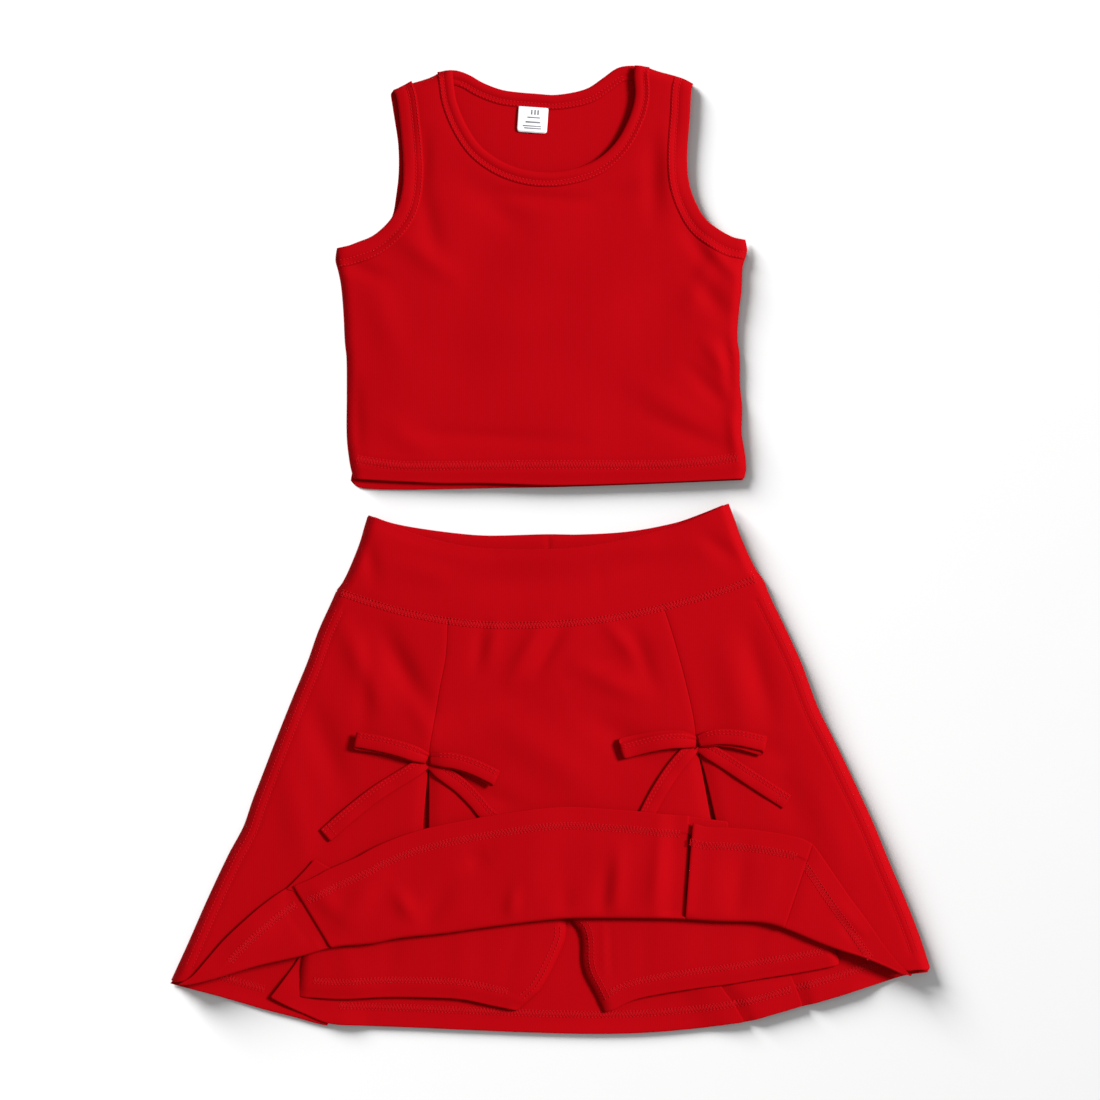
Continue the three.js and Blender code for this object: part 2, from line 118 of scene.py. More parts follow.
# Textured polyester sewing thread, a little shinier than the jersey. Its colour is set a shade lighter than the jersey
# as a painted highlight for the light that the raised threads catch. Its twist of 0.4 mm is drawn at 0.8 mm.
polyesterThread = clothMaterial("polyester_thread", {
    "dark": "#B60A14", "light": "#C2101B", "driftMm": 6, "rowMm": 0.8, "turn": 0.7, "wobble": 0.3,
    "fuzzMm": 1, "rowDepth": 0.3, "fuzzDepth": 0.1, "roughness": 0.75, "ior": 1.5,
    "sheen": 0.0, "sheenTint": "#C02028", "specular": 0.05})

# Woven satin ribbon for the label: bright white with a soft gloss along its floats.
satinRibbon = clothMaterial("woven_satin_ribbon", {
    "dark": "#E9E9EC", "light": "#F8F8F8", "driftMm": 8, "rowMm": 0.7, "turn": 1.5708, "wobble": 0.1,
    "fuzzMm": 1.5, "rowDepth": 0.1, "fuzzDepth": 0.05, "roughness": 0.42, "ior": 1.5,
    "sheen": 0.1, "sheenTint": "#FFFFFF", "specular": 0.5})

# Ink pressed into the ribbon: grey and quite matt.
labelInk = clothMaterial("printing_ink", {
    "dark": "#6E6E76", "light": "#8C8C94", "driftMm": 2, "rowMm": 0.7, "turn": 1.5708, "wobble": 0.1,
    "fuzzMm": 0.8, "rowDepth": 0.1, "fuzzDepth": 0.1, "roughness": 0.7, "ior": 1.5,
    "sheen": 0.0, "sheenTint": "#FFFFFF", "specular": 0.3})

# Braided polyester elastic: off-white, ribbed along its length every 1.5 mm.
braidedElastic = clothMaterial("braided_elastic", {
    "dark": "#DEDAD0", "light": "#ECE9E1", "driftMm": 12, "rowMm": 1.5, "turn": 1.5708, "wobble": 0.2,
    "fuzzMm": 2, "rowDepth": 0.6, "fuzzDepth": 0.2, "roughness": 0.8, "ior": 1.5,
    "sheen": 0.1, "sheenTint": "#FFFFFF", "specular": 0.3})
print("materials made")


# ---- Lines and heights ----

def curveThrough(points, step=2.0):
    # a smooth line through the points, evenly spaced
    p = np.array(points, float)
    p = np.vstack([2 * p[0] - p[1], p, 2 * p[-1] - p[-2]])
    t = np.linspace(0, 1, 13)[:-1, None]
    parts = []
    for a, b, c, d in zip(p, p[1:], p[2:], p[3:]):
        reach = np.linalg.norm(c - b)
        before = (c - a) / (np.linalg.norm(b - a) + reach) * reach
        after = (d - b) / (np.linalg.norm(d - c) + reach) * reach
        parts.append((2 * t ** 3 - 3 * t ** 2 + 1) * b + (t ** 3 - 2 * t ** 2 + t) * before
                     + (3 * t ** 2 - 2 * t ** 3) * c + (t ** 3 - t ** 2) * after)
    return spaced(np.vstack(parts + [p[-2:-1]]), step)


def spaced(line, step=None, count=None):
    line = np.array(line, float)
    run = np.concatenate([[0], np.cumsum(np.linalg.norm(np.diff(line, axis=0), axis=1))])
    count = count or max(2, int(round(run[-1] / step)) + 1)
    at = np.linspace(0, run[-1], count)
    return np.stack([np.interp(at, run, line[:, k]) for k in range(line.shape[1])], 1)


def lengthOf(line):
    return float(np.linalg.norm(np.diff(line, axis=0), axis=1).sum())


def leftOf(line):
    along = np.gradient(line[:, :2], axis=0)
    along /= np.linalg.norm(along, axis=1, keepdims=True) + 1e-9
    return np.stack([-along[:, 1], along[:, 0]], 1)


def beside(line, distance):
    # the line moved to its left, where the distance is positive
    return line + leftOf(line) * np.reshape(distance, (-1, 1))


def nearest(points, line, skip=3):
    # each point's distance to the line and how far along the line it is, from 0 to 1; a long
    # line is read at every third point
    line = np.array(line, float)
    if len(line) > 4 * skip:
        line = np.vstack([line[:-1:skip], line[-1:]])
    best = np.full(len(points), 1e9)
    where = np.zeros(len(points))
    run = np.concatenate([[0], np.cumsum(np.linalg.norm(np.diff(line, axis=0), axis=1))])
    for i, (a, b) in enumerate(zip(line, line[1:])):
        d = b - a
        t = np.clip(((points - a) @ d) / max(d @ d, 1e-9), 0, 1)
        away = np.hypot(*(points - a - t[:, None] * d).T)
        closer = away < best
        best[closer] = away[closer]
        where[closer] = (run[i] + t[closer] * (run[i + 1] - run[i])) / run[-1]
    return best, where


def ease(t):
    t = np.clip(t, 0, 1)
    return t * t * (3 - 2 * t)


def roundedEdge(points, lines, width, power=2.2):
    # 0 on the lines, 1 from that width inwards, with the fullness of a folded edge
    away = np.min([nearest(points, line)[0] for line in lines], axis=0)
    return 1 - (1 - np.clip(away / width, 0, 1)) ** power


def softFolds(points, folds):
    # each fold runs from one point to another with its own width and height
    height = np.zeros(len(points))
    for x0, y0, x1, y1, width, high in folds:
        away, along = nearest(points, np.array([[x0, y0], [x1, y1]], float))
        height += high * np.exp(-(away / (0.8 * width)) ** 2) * (0.35 + 0.65 * np.sin(np.pi * along))
    return height


def grooves(points, lines, width, depth):
    sunk = np.zeros(len(points))
    for line in lines:
        away = nearest(points, line)[0]
        sunk = np.maximum(sunk, np.exp(-(away / width) ** 2))
    return -depth * sunk


def ripple(points, seed, length, high):
    random = np.random.RandomState(seed)
    height = np.zeros(len(points))
    for _ in range(6):
        turn, phase = random.uniform(0, 2 * np.pi, 2)
        way = np.array([np.cos(turn), np.sin(turn)]) * 2 * np.pi / (length * random.uniform(0.7, 1.6))
        height += np.sin(points @ way + phase)
    return height * high / 6


# ---- Meshes ----

def makePiece(name, points, faces, material, body=None, nodes=(), slotName="knit"):
    mesh = bpy.data.meshes.new(name)
    mesh.from_pydata((np.array(points) * mm).tolist(), [], faces)
    mesh.materials.append(material)
    mesh.polygons.foreach_set("use_smooth", [True] * len(mesh.polygons))
    mesh.update()
    # a piece that stands for the CAD node of its name also says what it is made of
    piece = bpy.data.objects.new(f"{name}_{slotName}" if name in nodes else name, mesh)
    bpy.context.collection.objects.link(piece)
    if body:
        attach(piece, body)
    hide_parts(*nodes)
    return piece


def thickened(points, faces, thickness):
    # closes a surface into a ply: a lower side, and a rounded rim around every open edge
    points = np.array(points, float)
    normals = np.zeros_like(points)
    for count in {len(f) for f in faces}:
        f = np.array([face for face in faces if len(face) == count])
        across = np.cross(points[f[:, 1]] - points[f[:, 0]], points[f[:, -1]] - points[f[:, 0]])
        for k in range(count):
            np.add.at(normals, f[:, k], across)
    normals /= np.linalg.norm(normals, axis=1, keepdims=True) + 1e-12
    total = len(points)
    lower = points - normals * thickness
    edges = {}
    for face in faces:
        for a, b in zip(face, (*face[1:], face[0])):
            edges[(a, b)] = True
    rim = [(a, b) for a, b in edges if (b, a) not in edges]
    outward = np.zeros_like(points)
    for a, b in rim:
        side = np.cross(points[b] - points[a], normals[a])
        side /= np.linalg.norm(side) + 1e-12
        outward[a] += side
        outward[b] += side
    onRim = sorted({a for edge in rim for a in edge})
    middle = {a: 2 * total + i for i, a in enumerate(onRim)}
    push = outward[onRim]
    push /= np.linalg.norm(push, axis=1, keepdims=True) + 1e-12
    middlePoints = (points[onRim] + lower[onRim]) / 2 + push * thickness * 0.4
    every = [tuple(f) for f in faces] + [tuple(total + v for v in reversed(f)) for f in faces]
    for a, b in rim:
        every.append((b, a, middle[a], middle[b]))
        every.append((middle[b], middle[a], total + a, total + b))
    return np.vstack([points, lower, middlePoints]), every


def isInside(points, outline):
    inside = np.zeros(len(points), bool)
    x, y = points.T
    for (x0, y0), (x1, y1) in zip(outline, np.roll(outline, -1, axis=0)):
        crosses = (y0 > y) != (y1 > y)
        inside ^= crosses & (x < (x1 - x0) * (y - y0) / (y1 - y0 + 1e-12) + x0)
    return inside


def area(outline):
    x, y = np.array(outline).T
    return 0.5 * float(np.sum(x * np.roll(y, -1) - y * np.roll(x, -1)))


def clothSheet(name, edges, height, look, body, nodes=(), guides=(), rests=(), material=None, slotName="knit"):
    # a ply cut to the outline that the edges make, laid to a height, with finer rows of
    # vertices along its rim and along the guides
    outline = np.vstack([np.array(edge, float)[:, :2] for edge in edges])
    keep = np.linalg.norm(outline - np.roll(outline, 1, axis=0), axis=1) > 0.4
    outline = outline[keep]
    if area(outline) < 0:
        outline = outline[::-1]
    closed = np.vstack([outline, outline[:1]])
    outline = spaced(closed, look["rimStep"])[:-1]
    low, high = outline.min(0), outline.max(0)
    s = look["step"]
    rows = np.arange(low[1], high[1], s * 0.866)
    grid = np.array([(x + (j % 2) * s / 2, y) for j, y in enumerate(rows)
                     for x in np.arange(low[0], high[0], s)])
    closed = np.vstack([outline, outline[:1]])
    fine = [beside(closed, 0.9)[:-1]]
    for guide in guides:
        fine += [beside(spaced(guide, 2.0), shift) for shift in (-1.1, 0.0, 1.1)]
    fine = np.vstack(fine)
    fine = fine[isInside(fine, outline)]
    fine = fine[nearest(fine, closed, 1)[0] > 0.55]
    cell = np.round(fine / 0.6).astype(int)  # one vertex in each 0.6 mm at most
    fine = fine[np.unique(cell, axis=0, return_index=True)[1]]
    grid = grid[isInside(grid, outline)]
    grid = grid[nearest(grid, closed, 1)[0] > 0.9 + s * 0.45]
    for guide in guides:
        grid = grid[nearest(grid, np.array(guide))[0] > 1.1 + s * 0.4]
    flat = np.vstack([outline, fine, grid])
    found = geometry.delaunay_2d_cdt([Vector(p) for p in flat], [],
                                     [list(range(len(outline)))], 1, 1e-5)
    flat = np.array([tuple(v) for v in found[0]])
    faces = [tuple(f) for f in found[2]]
    points = np.column_stack([flat, height(flat)])
    points, faces = thickened(points, faces, look["ply"])
    piece = makePiece(name, points, faces, material or brushedJersey, body, nodes, slotName)
    size = (high - low) * mm
    flatArea = abs(area(outline)) * mm * mm
    sheets.append([piece, size, flatArea, rests])
    return piece


sheets = []  # each with its cut size, its area and what it rests on


def sweptBand(name, line, profile, height, body, nodes=(), material=None, slotName="knit"):
    # a closed profile of (sideways, up) points carried along a line over the height below it
    n, k = len(line), len(profile)
    out = leftOf(line)
    points = []
    for sideways, up in profile:
        ring = line[:, :2] + out * sideways
        points.append(np.column_stack([ring, height(ring) + up]))
    points = np.stack(points, 1).reshape(-1, 3)
    faces = [(i * k + j, i * k + (j + 1) % k, (i + 1) * k + (j + 1) % k, (i + 1) * k + j)
             for i in range(n - 1) for j in range(k)]
    faces += [tuple(range(k - 1, -1, -1)), tuple((n - 1) * k + j for j in range(k))]
    return makePiece(name, points, faces, material or brushedJersey, body, nodes, slotName)


def tubes(paths, radius, sides=6):
    # round threads along the paths, closed at both ends
    points, faces = [], []
    turn = np.linspace(0, 2 * np.pi, sides, endpoint=False)
    total = 0
    for path in paths:
        path = np.array(path, float)
        along = np.gradient(path, axis=0)
        along /= np.linalg.norm(along, axis=1, keepdims=True) + 1e-9
        sideways = np.cross(along, [0, 0, 1.0])
        sideways /= np.linalg.norm(sideways, axis=1, keepdims=True) + 1e-9
        up = np.cross(sideways, along)
        size = np.full(len(path), radius)
        size[[0, -1]] *= 0.55
        ring = (path[:, None] + size[:, None, None] * (
            np.cos(turn)[None, :, None] * sideways[:, None] + np.sin(turn)[None, :, None] * up[:, None]))
        points.append(ring.reshape(-1, 3))
        for i in range(len(path) - 1):
            for j in range(sides):
                k = (j + 1) % sides
                a = total + i * sides
                faces.append((a + j, a + sides + j, a + sides + k, a + k))
        last = total + (len(path) - 1) * sides
        faces.append(tuple(total + j for j in range(sides)))
        faces.append(tuple(last + j for j in range(sides - 1, -1, -1)))
        total += len(path) * sides
    return np.vstack(points), faces


def needleRow(line, offset, height, look, lift=0.0):
    # separate stitches that come up out of the cloth and go down again
    row = beside(spaced(line, 1.0), offset)
    count = max(1, int(lengthOf(row) / look["pitch"]))
    row = spaced(row, count=count * 8 + 1)
    paths = []
    for i in range(count):
        part = row[i * 8 + 1:i * 8 + 8:2]
        z = height(part) + lift + np.array([-0.15, 0.22, 0.22, -0.15])
        paths.append(np.column_stack([part, z]))
    return paths


def looperRow(line, inner, outer, height, look, lift=0.0):
    # the under thread, which zigzags between the needle rows
    line = spaced(line, 1.0)
    count = max(4, int(2 * lengthOf(line) / look["pitch"]))
    near = beside(spaced(line, count=count), inner)
    far = beside(spaced(line, count=count), outer)
    near[1::2] = far[1::2]
    path = spaced(near, count=3 * count - 2) if count < 3 else np.vstack(
        [near[:-1, None] + (near[1:, None] - near[:-1, None]) * np.array([0, 0.33, 0.67])[None, :, None]]).reshape(-1, 2)
    return [np.column_stack([path, height(path) + lift + 0.02])]


stitchLook = {"pitch": 2.5, "radius": 0.34}


def stitching(name, rows, body, nodes=(), radius=None):
    points, faces = tubes([path for row in rows for path in row], radius or stitchLook["radius"])
    return makePiece(name, points, faces, polyesterThread, body, nodes, "thread")


# ---- The top ----

topLook = {"ply": 0.75, "step": 3.2, "rimStep": 2.2, "backStep": 6.0,
           "inside": 7.4, "closedEdge": 2.6, "edgeWidth": 5.5,
           "neckDroop": 0.9, "armholeDroop": 2.0, "hemDroop": 1.6, "foldShare": 3.4}

topLeftSide = curveThrough([(-153.4, 216.9), (-154.3, 208.4), (-152.2, 199.8), (-150.3, 189.7), (-148.6, 170),
                            (-147.6, 149.4), (-146.4, 138), (-146.2, 110), (-146.2, 81.3), (-144, 62), (-141.4, 51.5)])
topRightSide = curveThrough([(140.6, 223), (141.8, 216), (140.6, 210), (138.6, 204), (137.8, 186.8), (136, 172), (134.8, 153),
                             (136.5, 138.6), (136.7, 118.4), (138.2, 102.6), (137.9, 83.9), (140.3, 68.8),
                             (141.1, 58), (139.7, 51.5)])
topFrontHem = curveThrough([(-141.4, 51.5), (-125, 50.4), (-108.7, 49.6), (-77.8, 48.3), (-46.8, 48.3),
                            (7.2, 46.8), (80, 48.8), (139.7, 51.5)])
topBackHem = curveThrough([(-143.2, 50), (-140, 46.6), (-134.9, 44.6), (-108, 43.6), (-77.8, 44), (-30, 45),
                           (7.2, 45.6), (67, 47.6), (139, 50.6)])
frontArmholeLeft = curveThrough([(-112.2, 330.6), (-110.3, 326.6), (-109, 320), (-107.9, 311), (-106, 292), (-105, 275), (-105.8, 260),
                                 (-108.8, 247), (-114, 238), (-121.5, 230), (-130.5, 223.6), (-142.6, 219.2), (-148, 217.8),
                                 (-153.4, 216.9)])
backArmholeLeft = curveThrough([(-114.5, 328), (-111.6, 310), (-108.9, 291), (-108.7, 271), (-110.5, 255),
                                (-113.3, 240), (-118.5, 233), (-128.5, 225.4), (-138, 221.6), (-152, 216)])
frontArmholeRight = curveThrough([(102.8, 335.4), (101.4, 331), (100.8, 323), (100.3, 312.1), (98.6, 290), (98.4, 276), (100.1, 262),
                                  (104.6, 249.4), (111.4, 238), (122, 229.6), (131, 224.8), (136, 223.5), (140.6, 223)])
backArmholeRight = curveThrough([(99.6, 333), (98.6, 312.1), (96.8, 290), (96.6, 276), (98.3, 261),
                                 (103, 247.4), (110.4, 235.6), (121.4, 227.4), (131.4, 222.6), (138, 212)])
backShoulderLeft = curveThrough([(-79.4, 342.8), (-94, 336.6), (-103.9, 333.6), (-110.4, 332), (-113.6, 330.2), (-114.5, 327)])
shoulderLeft = curveThrough([(-79.4, 343.6), (-84.6, 340.4), (-94, 337.2), (-103.9, 334.4), (-112.2, 330.6)])
shoulderRight = curveThrough([(102.8, 335.4), (97, 338.6), (89.3, 341.2), (77.5, 344.4), (69.8, 347.2)])
# the neck edge runs over each shoulder, from the front down to where the back takes over
frontNeck = curveThrough([(61, 347.9), (60.6, 340.9), (61.2, 325.8), (56.9, 310), (46.8, 292), (31.7, 279.2),
                          (10.1, 272.3), (-10.8, 271.8), (-31.3, 277.4), (-49, 289.1), (-59.8, 304.2),
                          (-67.2, 322), (-69.5, 336), (-70.4, 344.6)])
backNeck = curveThrough([(66, 348.2), (54.7, 348.2), (47.5, 346.2), (38.2, 339.5), (25.9, 331.6), (4.7, 327.4),
                         (-10, 328.2), (-24.5, 329.4), (-35.6, 331.2), (-49, 336.4), (-58.3, 341.8), (-68.4, 345.1),
                         (-77.4, 344.2)])
topSeams = {"bindingWidth": 10.6, "neckGroove": 6.6, "armholeWidth": 14.2, "armholeGroove": 8.8}

topFolds = [
    (-60, 262, -20, 232, 12, -0.5), (-95, 268, -82, 215, 9, -0.6), (-108, 226, -70, 196, 10, 0.6),
    (84, 300, 88, 250, 8, 0.6), (74, 290, 74, 238, 8, -0.6), (96, 232, 116, 205, 8, -0.7),
    (104, 196, 126, 168, 9, -0.8), (118, 210, 100, 176, 9, 0.5), (-128, 196, -110, 140, 14, 0.5),
    (60, 120, 118, 84, 12, 0.45), (70, 96, 132, 70, 9, -0.45), (-40, 150, 60, 176, 22, 0.5),
    (-120, 92, -84, 70, 12, 0.4), (126, 150, 132, 110, 5, -0.9), (130, 100, 134, 66, 5, 0.6),
    (-140, 120, -138, 70, 6, -0.5), (30, 250, 66, 262, 8, -0.5), (-40, 256, 30, 250, 7, -0.6),
    (112, 150, 130, 124, 7, 0.6), (100, 130, 130, 100, 8, -0.6), (-90, 300, -90, 262, 6, -0.5),
    (-148, 206, -120, 196, 7, -0.6), (110, 222, 134, 196, 6, 0.7), (-100, 84, 20, 78, 7, -0.4)]
topStitchLine = curveThrough([(-143.2, 66), (-134.9, 64.4), (-115, 61.4), (-96.5, 60.4), (-49.3, 60.9),
                              (7.2, 61.4), (79.6, 61.4), (120, 64.4), (138.6, 67.6)])


def topFrontHeight(points):
    look = topLook
    closed = roundedEdge(points, [topLeftSide, topRightSide, shoulderLeft, shoulderRight], look["edgeWidth"])
    z = look["closedEdge"] + (look["inside"] - look["closedEdge"]) * closed
    for edge, droop, width in ((frontNeck, look["neckDroop"], 16), (frontArmholeLeft, look["armholeDroop"], 20),
                               (frontArmholeRight, look["armholeDroop"], 20), (topFrontHem, look["hemDroop"], 12)):
        z -= droop * closed * (1 - ease(nearest(points, edge)[0] / width))
    inner = ease(nearest(points, frontNeck)[0] / 20) * closed
    z += inner * (topLook["foldShare"] * softFolds(points, topFolds) + ripple(points, 4, 70, 1.0))
    z += grooves(points, [beside(topStitchLine, -2.8), beside(topStitchLine, 2.8)], 0.8, 0.35)
    return z


def topBackHeight(points):
    return 0.85 + 0.15 * ripple(points, 9, 60, 1.0) ** 2


frontLook = dict(topLook)
backLook = dict(topLook, step=topLook["backStep"], rimStep=3.5)
topFront = clothSheet(
    "top_front", [topFrontHem, topRightSide[::-1], frontArmholeRight[::-1], shoulderRight, frontNeck,
                  shoulderLeft, frontArmholeLeft, topLeftSide],
    topFrontHeight, frontLook, "top",
    ["top_front", "top_left_side_seam", "top_right_side_seam", "top_left_shoulder_seam", "top_right_shoulder_seam"],
    [beside(topStitchLine, -2.8)[4:-4], beside(topStitchLine, 2.8)[4:-4]], ["top_back"])
topBack = clothSheet(
    "top_back", [topBackHem, beside(topRightSide[::-1], 1.2)[3:-4], backArmholeRight[::-1],
                 beside(shoulderRight, 1.0), backNeck, backShoulderLeft, backArmholeLeft,
                 beside(topLeftSide, 1.2)[4:-3]],
    topBackHeight, backLook, "top", ["top_back"])


def bindingProfile(width, groove, rise):
    # a folded strip: full at the edge, sunk where the needles hold it, flat at its outer side
    return [(0.5, -0.6), (width * 0.5, -0.5), (width - 0.2, -0.5), (width, 0.15), (width - 0.5, 0.55 * rise),
            (width - 1.6, 0.75 * rise), (groove + 1.6, 0.85 * rise), (groove + 0.7, 0.5 * rise), (groove, 0.32 * rise),
            (groove - 0.7, 0.6 * rise), (groove - 1.8, 1.15 * rise), (groove * 0.5, 1.4 * rise), (1.6, 1.35 * rise),
            (0.5, 1.05 * rise), (-0.1, 0.5 * rise), (-0.2, 0.0)]


def boundEdge(name, line, height, width, groove, rise, nodes, body="top"):
    return sweptBand(name, line, bindingProfile(width, groove, rise), height, body, nodes)


bindings = []
for name, line, height, width, groove, rise in (
        ("neck_binding_front", frontNeck, topFrontHeight, topSeams["bindingWidth"], topSeams["neckGroove"], 1.15),
        ("left_armhole_binding_front", frontArmholeLeft, topFrontHeight, topSeams["armholeWidth"],
         topSeams["armholeGroove"], 0.9),
        ("right_armhole_binding_front", frontArmholeRight[::-1], topFrontHeight, topSeams["armholeWidth"],
         topSeams["armholeGroove"], 0.9),
        ("neck_binding_back", backNeck, topBackHeight, topSeams["bindingWidth"], topSeams["neckGroove"], 0.95),
        ("left_armhole_binding_back", backArmholeLeft[2:-4], topBackHeight, 11, 7, 0.8),
        ("right_armhole_binding_back", backArmholeRight[::-1][4:-2], topBackHeight, 11, 7, 0.8)):
    bindings.append(boundEdge(name, line, height, width, groove, rise, [name]))

neckRows = []
for line, height, width, groove, rise in (
        (frontNeck, topFrontHeight, topSeams["bindingWidth"], topSeams["neckGroove"], 1.15),
        (backNeck[8:-8], topBackHeight, topSeams["bindingWidth"], topSeams["neckGroove"], 0.95),
        (frontArmholeLeft, topFrontHeight, topSeams["armholeWidth"], topSeams["armholeGroove"], 0.9),
        (frontArmholeRight[::-1], topFrontHeight, topSeams["armholeWidth"], topSeams["armholeGroove"], 0.9)):
    neckRows.append(needleRow(line, groove, height, stitchLook, 0.36 * rise))
    neckRows.append(needleRow(line, width - 1.3, height, stitchLook, 0.74 * rise))
neckStitching = stitching("neck_stitching", neckRows, "top", ["neck_stitching"])
topHemStitching = stitching(
    "top_hem_stitching",
    [needleRow(topStitchLine[2:-2], 2.8, topFrontHeight, stitchLook),
     needleRow(topStitchLine[2:-2], -2.8, topFrontHeight, stitchLook),
     looperRow(topStitchLine[2:-2], -2.4, 2.4, topFrontHeight, {"pitch": 2.3})],
    "top", ["top_hem_stitching"], 0.3)
print("top made")


# ---- The size label ----

labelLook = {"width": 21.2, "length": 17.6, "turn": -4.0, "x": -11.8, "y": 318.4, "low": 2.3, "thickness": 0.3}


def onLabel(x, y):
    turn = np.radians(labelLook["turn"])
    return (labelLook["x"] + x * np.cos(turn) - y * np.sin(turn), labelLook["y"] + x * np.sin(turn) + y * np.cos(turn))


def labelHeight(points):
    down = labelLook["y"] - points[:, 1]
    side = (points[:, 0] - labelLook["x"]) / (labelLook["width"] / 2)
    return labelLook["low"] + 0.7 + 0.35 * np.sin(np.clip(down / labelLook["length"], 0, 1) * np.pi) - 0.15 * side ** 2


half, long = labelLook["width"] / 2, labelLook["length"]
labelEdge = spaced([onLabel(-half, 0), onLabel(-half, -long + 1), onLabel(-half + 1, -long), onLabel(half - 1, -long),
                    onLabel(half, -long + 1), onLabel(half, 0), onLabel(-half, 0)], 0.9)
clothSheet("size_label", [labelEdge], labelHeight, {"ply": 0.35, "step": 1.6, "rimStep": 1.0},
           "size_label", ["size_label"], material=satinRibbon, slotName="label")


def labelUnderHeight(points):
    return labelHeight(points) - 0.5


clothSheet("size_label_under_fold", [labelEdge - [0, 0.5]], labelUnderHeight, {"ply": 0.3, "step": 1.8, "rimStep": 1.2},
           "size_label", material=satinRibbon, slotName="label")
printedBars = []
for x, y, wide, high in ((-1.0, -3.6, 1.0, 3.4), (1.4, -3.6, 1.0, 3.4), (3.6, -3.6, 1.0, 3.4), (0.6, -7.4, 9.0, 0.8),
                         (0.3, -10.8, 10.5, 1.0), (-0.2, -13.6, 13.0, 0.7), (0.4, -15.2, 12.0, 0.7)):
    corners = [onLabel(x + sx * wide / 2, y + sy * high / 2) for sx, sy in ((-1, -1), (1, -1), (1, 1), (-1, 1))]
    flat = np.array(corners)
    points, faces = thickened(np.column_stack([flat, labelHeight(flat) + 0.16]), [(0, 1, 2, 3)], 0.1)
    printedBars.append((points, faces))
allPoints = np.vstack([p for p, f in printedBars])
allFaces = [tuple(v + i * len(printedBars[0][0]) for v in face) for i, (p, f) in enumerate(printedBars) for face in f]
labelPrint = makePiece("size_label_print", allPoints, allFaces, labelInk, "size_label", (), "label")
print("label made")


# ---- The skort: lines ----

bandLeft = curveThrough([(-131, 25), (-134, 15), (-136.8, 5.4), (-142.6, -9.4), (-149, -23), (-153.6, -29)])
bandRight = curveThrough([(128.5, 33.5), (132.8, 22), (137, 10), (141.8, -1.1), (148.4, -14.4), (153.8, -21.6)])
waistFrontEdge = curveThrough([(-131, 25), (-120, 21), (-108, 15.6), (-84.2, 7.6), (-56.9, 2.1), (-31.7, 0.6),
                               (7.2, 0.8), (27.4, 2.9), (50.4, 7.2), (73.4, 12.9), (91.4, 17.6), (112, 26), (128.5, 33.5)])
waistBackEdge = curveThrough([(-129, 24.6), (-116, 19.8), (-99.4, 16.2), (-68.4, 11.9), (-44.6, 10.1), (-2.2, 11.1),
                              (21.6, 10.9), (56.2, 13), (89.3, 19.1), (107.3, 25.2), (126.6, 33)])
waistSeam = curveThrough([(-153.6, -29), (-144, -32.4), (-126.7, -38.2), (-105.8, -44.2), (-74.2, -50.6),
                          (-44.6, -53.6), (-10.8, -53.6), (27.4, -51), (61.9, -45.4), (96.1, -37.3), (124.6, -28.8),
                          (147.6, -20.9), (153.8, -21.6)], 2.0)
skirtLeft = curveThrough([(-153.6, -29), (-157, -37), (-166.5, -58), (-174.4, -80.3), (-185, -106), (-198, -138.6),
                          (-207, -162), (-214, -180), (-220.6, -199), (-231.1, -218.6), (-247, -252.4),
                          (-260, -282), (-272.6, -309.6)])
skirtRight = curveThrough([(153.8, -21.6), (158.6, -34), (167.8, -53), (180.7, -81), (192.6, -112.8),
                           (204.4, -136.7), (219.2, -167.4), (232.8, -196.9), (244.3, -225), (256.6, -253.7),
                           (266, -278), (273.6, -301)])
foldLine = curveThrough([(-272.6, -309.6), (-262, -312), (-245, -308.6), (-226, -303), (-209, -298), (-178, -291),
                         (-154.4, -284.6), (-127, -282), (-108, -278.2), (-74, -274.6), (-39, -269.6), (7, -264.4),
                         (33, -263.8), (70, -264), (96.5, -264.6), (121, -266), (151.2, -267), (165.6, -270.4),
                         (192, -281.2), (206.6, -286.6), (224.4, -292.2), (240, -298.6), (256, -304.6), (273.6, -301)])
seamLeft = curveThrough([(-73.4, -50.8), (-74.9, -76.7), (-79, -98.3), (-82.6, -120), (-86.4, -142), (-87, -150)])
seamRight = curveThrough([(81.5, -41.2), (87.1, -58.3), (93.6, -81), (99.4, -104), (103.4, -124), (105.2, -141)])
slitLeft = {"left": curveThrough([(-87.2, -150), (-88.8, -170), (-91.4, -200), (-95.5, -276)]),
            "right": curveThrough([(-86.8, -150), (-86.6, -175), (-87, -215), (-88.5, -275)])}
slitRight = {"left": curveThrough([(105, -141), (109, -160), (114.6, -190), (120.4, -225), (124.4, -266)]),
             "right": curveThrough([(105.4, -141), (111.2, -160), (118.2, -190), (126, -225), (132, -266.4)])}

sideSeamRows = [beside(skirtRight, -5.6)[6:-8], beside(skirtRight, -10.4)[6:-8],
                beside(skirtLeft, 5.6)[6:-8], beside(skirtLeft, 10.4)[6:-8]]
skirtLook = {"ply": 0.75, "step": 3.2, "rimStep": 2.2, "inside": 10.8, "closedEdge": 3.0, "edgeWidth": 7,
             "lowerEdgeWidth": 6.5, "seamSink": 0.45, "foldShare": 3.2}

